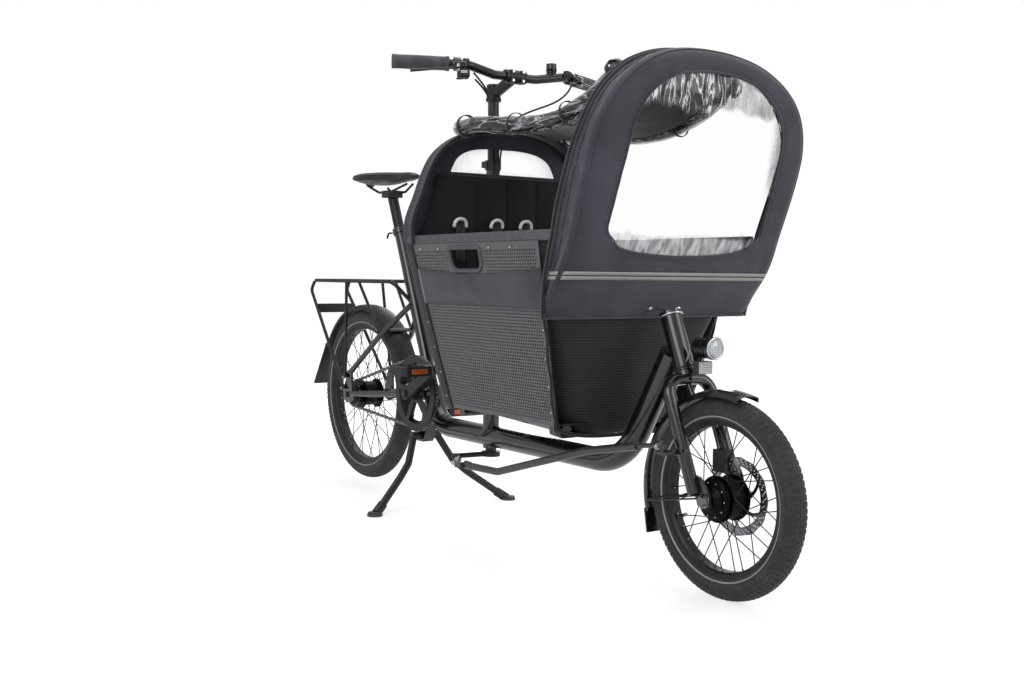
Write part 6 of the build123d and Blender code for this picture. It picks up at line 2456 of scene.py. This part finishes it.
@dataclass
class FrontEnd:
    """Headset rings, lamp, reflector, stays and rod end."""

    lamp: tuple[float, float] = (1440.0, 499.0)
    head_low: tuple[float, float] = (1402.5, 449.0)
    head_angle: float = 68.0
    stay: tuple[Point, ...] = ((1524, 61, 214), (1450, 60, 202), (1372, 52, 184), (1334, 42, 168))

    def build(self) -> None:
        """All fittings of the fork and head tube."""
        x, z = self.lamp
        low = at(self.head_low[0], 0, self.head_low[1])
        angle = math.radians(self.head_angle)
        along = Vector((-math.cos(angle), 0, math.sin(angle)))
        for label, h in (("low", 0.004), ("high", 0.121)):
            ring = [(h - 0.002, 0.0215), (h - 0.002, 0.0256), (h - 0.001, 0.0262), (h + 0.001, 0.0262),
                    (h + 0.002, 0.0256), (h + 0.002, 0.0215)]
            turned(f"headset_ring_{label}", ring, low, along, SILVERRING if label == "high" else SATIN, "frame", 44)
        face = at(x + 49.8, 0, z)
        turned("lamp_ring", [(-0.0035, 0.0185), (-0.0035, 0.0232), (0.0005, 0.0234), (0.0016, 0.0222), (0.0016, 0.0196),
                             (0.0005, 0.0185)], face, (1, 0, 0), SILVERRING, "fork", 48)
        dish = [(-0.0004, 0.0), (-0.0002, 0.0045), (0.0001, 0.0046), (0.0002, 0.009), (0.0005, 0.0093),
                (0.0006, 0.014), (0.0009, 0.0143), (0.001, 0.0186), (-0.001, 0.0186)]
        turned("lamp_dish", dish, face, (1, 0, 0), SILVERRING, "fork", 20, False)
        turned("lamp_lens", [(0.0009, 0.0), (0.0011, 0.0188), (0.0021, 0.0188), (0.0042, 0.013), (0.0052, 0.006),
                             (0.0055, 0.0)], face, (1, 0, 0), LENS, "fork", 40)
        for k, h in enumerate((6, 13, 20, 27, 34)):
            turned(f"lamp_fin_{k + 1}", [(-0.0012, 0.0195), (-0.0012, 0.0212), (0.0012, 0.0212), (0.0012, 0.0195)],
                   at(x + h, 0, z), (1, 0, 0), GLOSSPLASTIC, "fork", 40, False)
        block("front_reflector", at(x + 23, 0, z - 40), (0.004, 0.036, 0.025), PRISM, "fork", 0.0018, None, 3)
        bracket = spline([at(x + 2, -22, z - 2), at(x - 4, -24, z - 18), at(x - 14, -20, z - 30),
                          at(x - 26, -12, z - 40)], 6)
        for side, label in SIDES:
            tube(f"lamp_bracket_{label}", [Vector((p.x, -side * p.y, p.z)) for p in bracket], 0.003, STEEL, "fork",
                 12, 0.45)
        for side, label in SIDES:
            tube(f"front_stay_{label}", side_line(self.stay, side, 6), 0.0022, SPOKE, "fork", 8)
        for label, foot, r in (("rod_end", (1459, -100, 306), 0.0095), ("swivel_end", (698, -100, 176), 0.008)):
            turned(f"{label}_collar", [(-0.012, 0), (-0.012, r * 0.8), (-0.006, r), (0.004, r), (0.008, r * 0.7),
                                       (0.008, 0)], at(foot[0] - 18, foot[1], foot[2] - 1), (1, 0, 0.05), STEEL,
                   "tie_rod", 24)
        turned("rod_end_mark", [(0, 0), (0, 0.0042), (0.0012, 0.0042), (0.0016, 0)], at(1447, -109.4, 305), (0, -1, 0),
               BLUERING, "tie_rod", 18)


# ---------------------------------------------------------------- drive, rack and stand
@dataclass
class Drive:
    """Chain links, chainring bolts, pedal treads and reflectors, and the rear axle's end."""

    ring: tuple[float, float, float] = (389.0, 316.0, 100.0)
    cog: tuple[float, float, float] = (0.0, 278.0, 35.8)
    chain_y: float = -50.0
    crank_y: float = 92.6
    pedal_y: float = 158.0
    pedal_at: tuple[tuple[float, float], ...] = ((540.5, 393.2), (237.5, 238.8))
    nut_y: float = 66.0

    def path(self, pitch: float = 6.35) -> list[tuple[Vector, Vector]]:
        """Points and directions along the chain's middle line.

        Args:
            pitch: from pin to pin, in millimetres.
        Returns:
            The places and directions of the links and pins.
        """
        (x1, z1, r1), (x0, z0, r0) = self.ring, self.cog
        dx, dz = x1 - x0, z1 - z0
        gap, tilt = math.hypot(dx, dz), math.atan2(dz, dx)
        spread = math.acos((r1 - r0) / gap)
        up, down = tilt + math.pi - spread, tilt + math.pi + spread
        line = []
        for i in range(41):
            a = down + (up + math.tau - down) * i / 40
            line.append(at(x1 + r1 * math.cos(a), self.chain_y, z1 + r1 * math.sin(a)))
        for i in range(41):
            a = up + (down - up) * i / 40
            line.append(at(x0 + r0 * math.cos(a), self.chain_y, z0 + r0 * math.sin(a)))
        line.append(line[0])
        total = sum((b - a).length for a, b in zip(line, line[1:]))
        count = 2 * int(total * 500 / pitch)
        step, out, k, gone = total / count, [], 0, 0.0
        for i in range(count):
            want = i * step
            while gone + (line[k + 1] - line[k]).length < want:
                gone += (line[k + 1] - line[k]).length
                k += 1
            way = line[k + 1] - line[k]
            out.append((line[k] + way * ((want - gone) / max(way.length, 1e-9)), way.normalized()))
        return out

    def chain(self) -> None:
        """Inner and outer side plates with rollers between them."""
        side = LEFT
        marks = self.path()
        outer, inner, pins = [], [], []
        for i, (p, run) in enumerate(marks):
            if i % 2 == 0:
                group = outer if (i // 2) % 2 else inner
                reach = 0.0037 if (i // 2) % 2 else 0.0027
                for s in (-1, 1):
                    group.append((p + side * s * reach, side * s, run))
            else:
                pins.append((p, side, run))
        Repeat.make("chain_outer_plates", outer, Unit.BRICK, (0.0118, 0.0072, 0.001), DARKSTEEL)
        Repeat.make("chain_inner_plates", inner, Unit.BRICK, (0.0118, 0.0064, 0.001), DARKSTEEL)
        made = Repeat.make("chain_rollers", pins, Unit.PEG, (0.0034, 0, 0.0078), DARKSTEEL, sides=10, smooth=False)
        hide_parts("chain")

    def teeth(self, name: str, middle: Sequence[float], radius: float, count: int, size: Point, body: str) -> None:
        """Teeth round a sprocket.

        Args:
            name: the piece's name.
            middle: the sprocket's (x, z).
            radius: how far out the teeth's middles lie.
            count: how many there are.
            size: length along the rim, width and height of one, in metres.
            body: the CAD body it moves with.
        """
        x, z = middle
        spots = [(at(x + radius * math.cos(a), self.chain_y, z + radius * math.sin(a)),
                  Vector((math.cos(a), 0, math.sin(a))), Vector((-math.sin(a), 0, math.cos(a)))) for a in circle(count)]
        Repeat.make(name, spots, Unit.BRICK, size, DARKSTEEL, body)

    def ring_fittings(self) -> None:
        """Chainring teeth, bolts and arm caps."""
        x, z, _ = self.ring
        self.teeth("chainring_teeth", (x, z), 98, 48, (0.0052, 0.0022, 0.011), "crank")
        spots = [(at(x + 52 * math.cos(a), -56.5, z + 52 * math.sin(a)), Vector((0, -1, 0)), AHEAD)
                 for a in (math.tau * k / 5 + 0.3 for k in range(5))]
        Repeat.make("chainring_bolts", spots, Unit.PEG, (0.0048, 0, 0.004), STEEL, "crank", 14)
        cap = [(0, 0), (0, 0.0105), (0.0015, 0.0112), (0.004, 0.0098), (0.0048, 0)]
        for side, label in SIDES:
            turned(f"crank_cap_{label}", cap, at(x, side * self.crank_y, z), (0, side, 0), SATIN, "crank", 28)

    def pedals(self) -> None:
        """Reflectors and tread ribs on both pedals."""
        for (side, label), (x, z) in zip(SIDES, self.pedal_at):
            y = side * self.pedal_y
            body = f"pedal_{label}"
            for dx, end in ((-43.4, "rear"), (43.4, "front")):
                block(f"pedal_reflector_{end}_{label}", at(x + dx, y, z), (0.003, 0.046, 0.013), AMBER, body, 0.0012)
            spots = []
            for top in (-1, 1):
                for dx in (-39, -6, 6, 39):
                    for k in range(9):
                        spots.append((at(x + dx, y - 32 + 8 * k, z + top * 12.2), UP * top, AHEAD))
            Repeat.make(f"pedal_studs_{label}", spots, Unit.BRICK, (0.005, 0.0045, 0.0016), PLASTIC, body)

    def rear_axle(self) -> None:
        """Silver nut and blue ring on the right, nut on the left, and the teeth of the cog."""
        nut = [(0, 0), (0, 0.0088), (0.009, 0.0088), (0.0102, 0.0072), (0.0102, 0)]
        turned("rear_nut", nut, at(0, -self.nut_y, self.cog[1]), (0, -1, 0), SILVERRING, "frame", 6, False)
        turned("rear_blue_ring", [(-0.0015, 0.0), (-0.0015, 0.0122), (0.0005, 0.0128), (0.0024, 0.0122),
                                  (0.0024, 0)], at(0, -self.nut_y, self.cog[1]), (0, -1, 0), BLUERING, "frame", 30)
        turned("rear_nut_left", nut, at(0, self.nut_y, self.cog[1]), (0, 1, 0), STEEL, "frame", 6, False)
        self.teeth("cog_teeth", self.cog[:2], 36.5, 18, (0.005, 0.0022, 0.009), "rear_wheel")

    def build(self) -> None:
        """All of the drive."""
        self.chain()
        self.ring_fittings()
        self.pedals()
        self.rear_axle()


@dataclass
class RearEnd:
    """Rack lamp and reflector, rack bolts and the stand's feet."""

    lamp_z: float = 534.0
    plate_x: float = -229.5
    bolt_y: float = 84.0
    bolts: tuple[tuple[float, float], ...] = ((-14, 296), (-2, 330))
    foot: tuple[float, float] = (448.0, 215.0)

    def build(self) -> None:
        """Fittings behind the saddle and under the frame."""
        x, z = self.plate_x, self.lamp_z
        block("rear_lamp_body", at(x, 0, z), (0.007, 0.104, 0.024), PLASTIC, "frame", 0.003, None, 3)
        block("rear_lamp", at(x - 3.9, 0, z + 2), (0.004, 0.062, 0.012), RED, "frame", 0.0016, None, 3)
        block("rear_reflector", at(x - 3.5, 0, z - 7.4), (0.003, 0.09, 0.005), RED, "frame", 0.0012)
        spots = []
        for side in (-1, 1):
            for x, z in self.bolts:
                spots.append((at(x, side * self.bolt_y, z), Vector((0, side, 0)), AHEAD))
        Repeat.make("rack_bolts", spots, Unit.PEG, (0.0048, 0, 0.005), STEEL, "frame", 6)
        for side, label in SIDES:
            turned(f"stand_foot_{label}", [(0.0, 0), (0.0, 0.0205), (0.0025, 0.0212), (0.006, 0.0198), (0.0105, 0.0165),
                                           (0.0115, 0.0)], at(self.foot[0], side * self.foot[1], 0), (0, 0, 1),
                   GRIP, "stand", 32)


# ---------------------------------------------------------------- finishes on the CAD frame
def dress_frame() -> None:
    """Gives every CAD node the finish of its real part."""
    for name, node in frame["nodes"].items():
        node.data.materials.clear()
        node.data.materials.append(NODE_FINISH[name].material())


# ---------------------------------------------------------------- studio
@dataclass
class Studio:
    """Pale floor, white backdrop, soft lamps and the camera."""

    floor_size: float = 14.0
    lamps: tuple[tuple[str, Point, Point, float, float], ...] = (
        ("key", (1.6, -3.2, 2.6), (0, 0, 0.5), 2.2, 46.0), ("fill", (3.6, 1.6, 1.8), (0.3, 0, 0.6), 2.0, 30.0),
        ("top", (0, 0.4, 3.4), (0, 0, 0.5), 2.6, 30.0), ("rim", (-2.6, 2.4, 2.0), (0, 0, 0.6), 1.6, 30.0))
    eye: tuple[float, float, float] = (3.1591, -1.6496, 0.6413)
    angles: tuple[float, float, float] = (55.352, 3.247, 0.504)
    lens: float = 40.6178

    def floor(self) -> None:
        """A plain pale floor that keeps the bike's shadow."""
        g = Graph("pale_floor")
        g.dress(Base_Color=(0.93, 0.93, 0.93), Roughness=0.55)
        path = g.add("ShaderNodeLightPath")
        glow = g.add("ShaderNodeEmission")
        g.put(glow, "Color", (1, 1, 1, 1))
        g.put(glow, "Strength", 1.35)
        mix = g.add("ShaderNodeMixShader")
        here = g.add("ShaderNodeTexCoord").outputs["Object"]
        away = g.add("ShaderNodeVectorMath", operation="LENGTH")
        g.link(here, away.inputs[0])
        far = g.span(away.outputs["Value"], 1.0, 3.4, 0.52, 1.0)
        share = g.math("MULTIPLY", g.math("MAXIMUM", path.outputs["Is Camera Ray"],
                                          path.outputs["Is Transmission Ray"]), far)
        g.link(share, mix.inputs[0])
        g.link(g.shader.outputs[0], mix.inputs[1])
        g.link(glow.outputs[0], mix.inputs[2])
        g.link(mix.outputs[0], g.out.inputs["Surface"])
        h = self.floor_size / 2
        mesh = bpy.data.meshes.new("floor")
        mesh.from_pydata([(-h, -h, 0), (h, -h, 0), (h, h, 0), (-h, h, 0)], [], [(0, 1, 2, 3)])
        mesh.materials.append(g.material)
        made = bpy.data.objects.new("floor", mesh)
        bpy.context.scene.collection.objects.link(made)

    def backdrop(self) -> None:
        """A world that lights softly and shows white to the camera, in gloss and through foil."""
        world = bpy.data.worlds.new("studio")
        bpy.context.scene.world = world
        world.use_nodes = True
        tree = world.node_tree
        tree.nodes.clear()
        out = tree.nodes.new("ShaderNodeOutputWorld")
        mix = tree.nodes.new("ShaderNodeMixShader")
        for slot, strength in ((1, 0.55), (2, 1.0)):
            shade = tree.nodes.new("ShaderNodeBackground")
            shade.inputs["Color"].default_value = (1, 1, 1, 1)
            shade.inputs["Strength"].default_value = strength
            tree.links.new(shade.outputs[0], mix.inputs[slot])
        path = tree.nodes.new("ShaderNodeLightPath")
        either = tree.nodes.new("ShaderNodeMath")
        either.operation = "MAXIMUM"
        tree.links.new(path.outputs["Is Camera Ray"], either.inputs[0])
        tree.links.new(path.outputs["Is Transmission Ray"], either.inputs[1])
        tree.links.new(either.outputs[0], mix.inputs[0])
        tree.links.new(mix.outputs[0], out.inputs["Surface"])

    def lamp(self, name: str, place: Point, aim: Point, size: float, power: float) -> None:
        """A square soft box.

        Args:
            name: its name.
            place, aim: where it hangs and what it looks at.
            size: its side in metres.
            power: its power in watts.
        """
        data = bpy.data.lights.new(name, "AREA")
        data.shape = "SQUARE"
        data.size = size
        data.energy = power
        made = bpy.data.objects.new(name, data)
        bpy.context.scene.collection.objects.link(made)
        made.location = place
        made.rotation_euler = (Vector(aim) - Vector(place)).to_track_quat("-Z", "Y").to_euler()

    def camera(self) -> None:
        """The camera: place, direction and lens."""
        yaw, pitch, roll = (math.radians(a) for a in self.angles)
        back = Vector((math.sin(yaw) * math.cos(pitch), -math.cos(yaw) * math.cos(pitch), math.sin(pitch)))
        right = Vector((math.cos(yaw), math.sin(yaw), 0))
        up = back.cross(right)
        side = right * math.cos(roll) + up * math.sin(roll)
        top = up * math.cos(roll) - right * math.sin(roll)
        data = bpy.data.cameras.new("camera")
        data.sensor_width = 36
        data.lens = self.lens
        data.clip_start = 0.05
        made = bpy.data.objects.new("camera", data)
        bpy.context.scene.collection.objects.link(made)
        turn = Matrix((side, top, back)).transposed().to_4x4()
        turn.translation = Vector((REAR[0] + self.eye[0], *self.eye[1:]))
        made.matrix_world = turn
        bpy.context.scene.camera = made

    def build(self) -> None:
        """Floor, light and camera."""
        self.floor()
        self.backdrop()
        for lamp in self.lamps:
            self.lamp(*lamp)
        self.camera()
        bpy.context.scene.view_settings.view_transform = "Standard"


def main() -> None:
    """Builds the dressed bike piece by piece."""
    logging.basicConfig(level=logging.INFO, format="%(name)s: %(message)s")
    dress_frame()
    LOG.info("finishes on %d frame nodes", len(frame["nodes"]))
    wheels = (Wheel("front", Vector(FRONT), outer=202.5, section=25.0, rim_r=152.5, spokes=32, stripe=(117.0, 126.0)),
              Wheel("rear", Vector(REAR), outer=257.0, section=26.0, rim_r=205.0, spokes=36, stripe=(114.0, 122.0)))
    for part in (SideWalls(), FrontCloth(), RearWall(), Hood(), RearHoop(), Roof(), Seat(), *wheels, HubMotor(),
                 Cockpit(), Saddle(), FrontEnd(), Drive(), RearEnd(), Studio()):
        part.build()
        LOG.info("%s built", type(part).__name__)


if __name__ == "__main__":
    main()
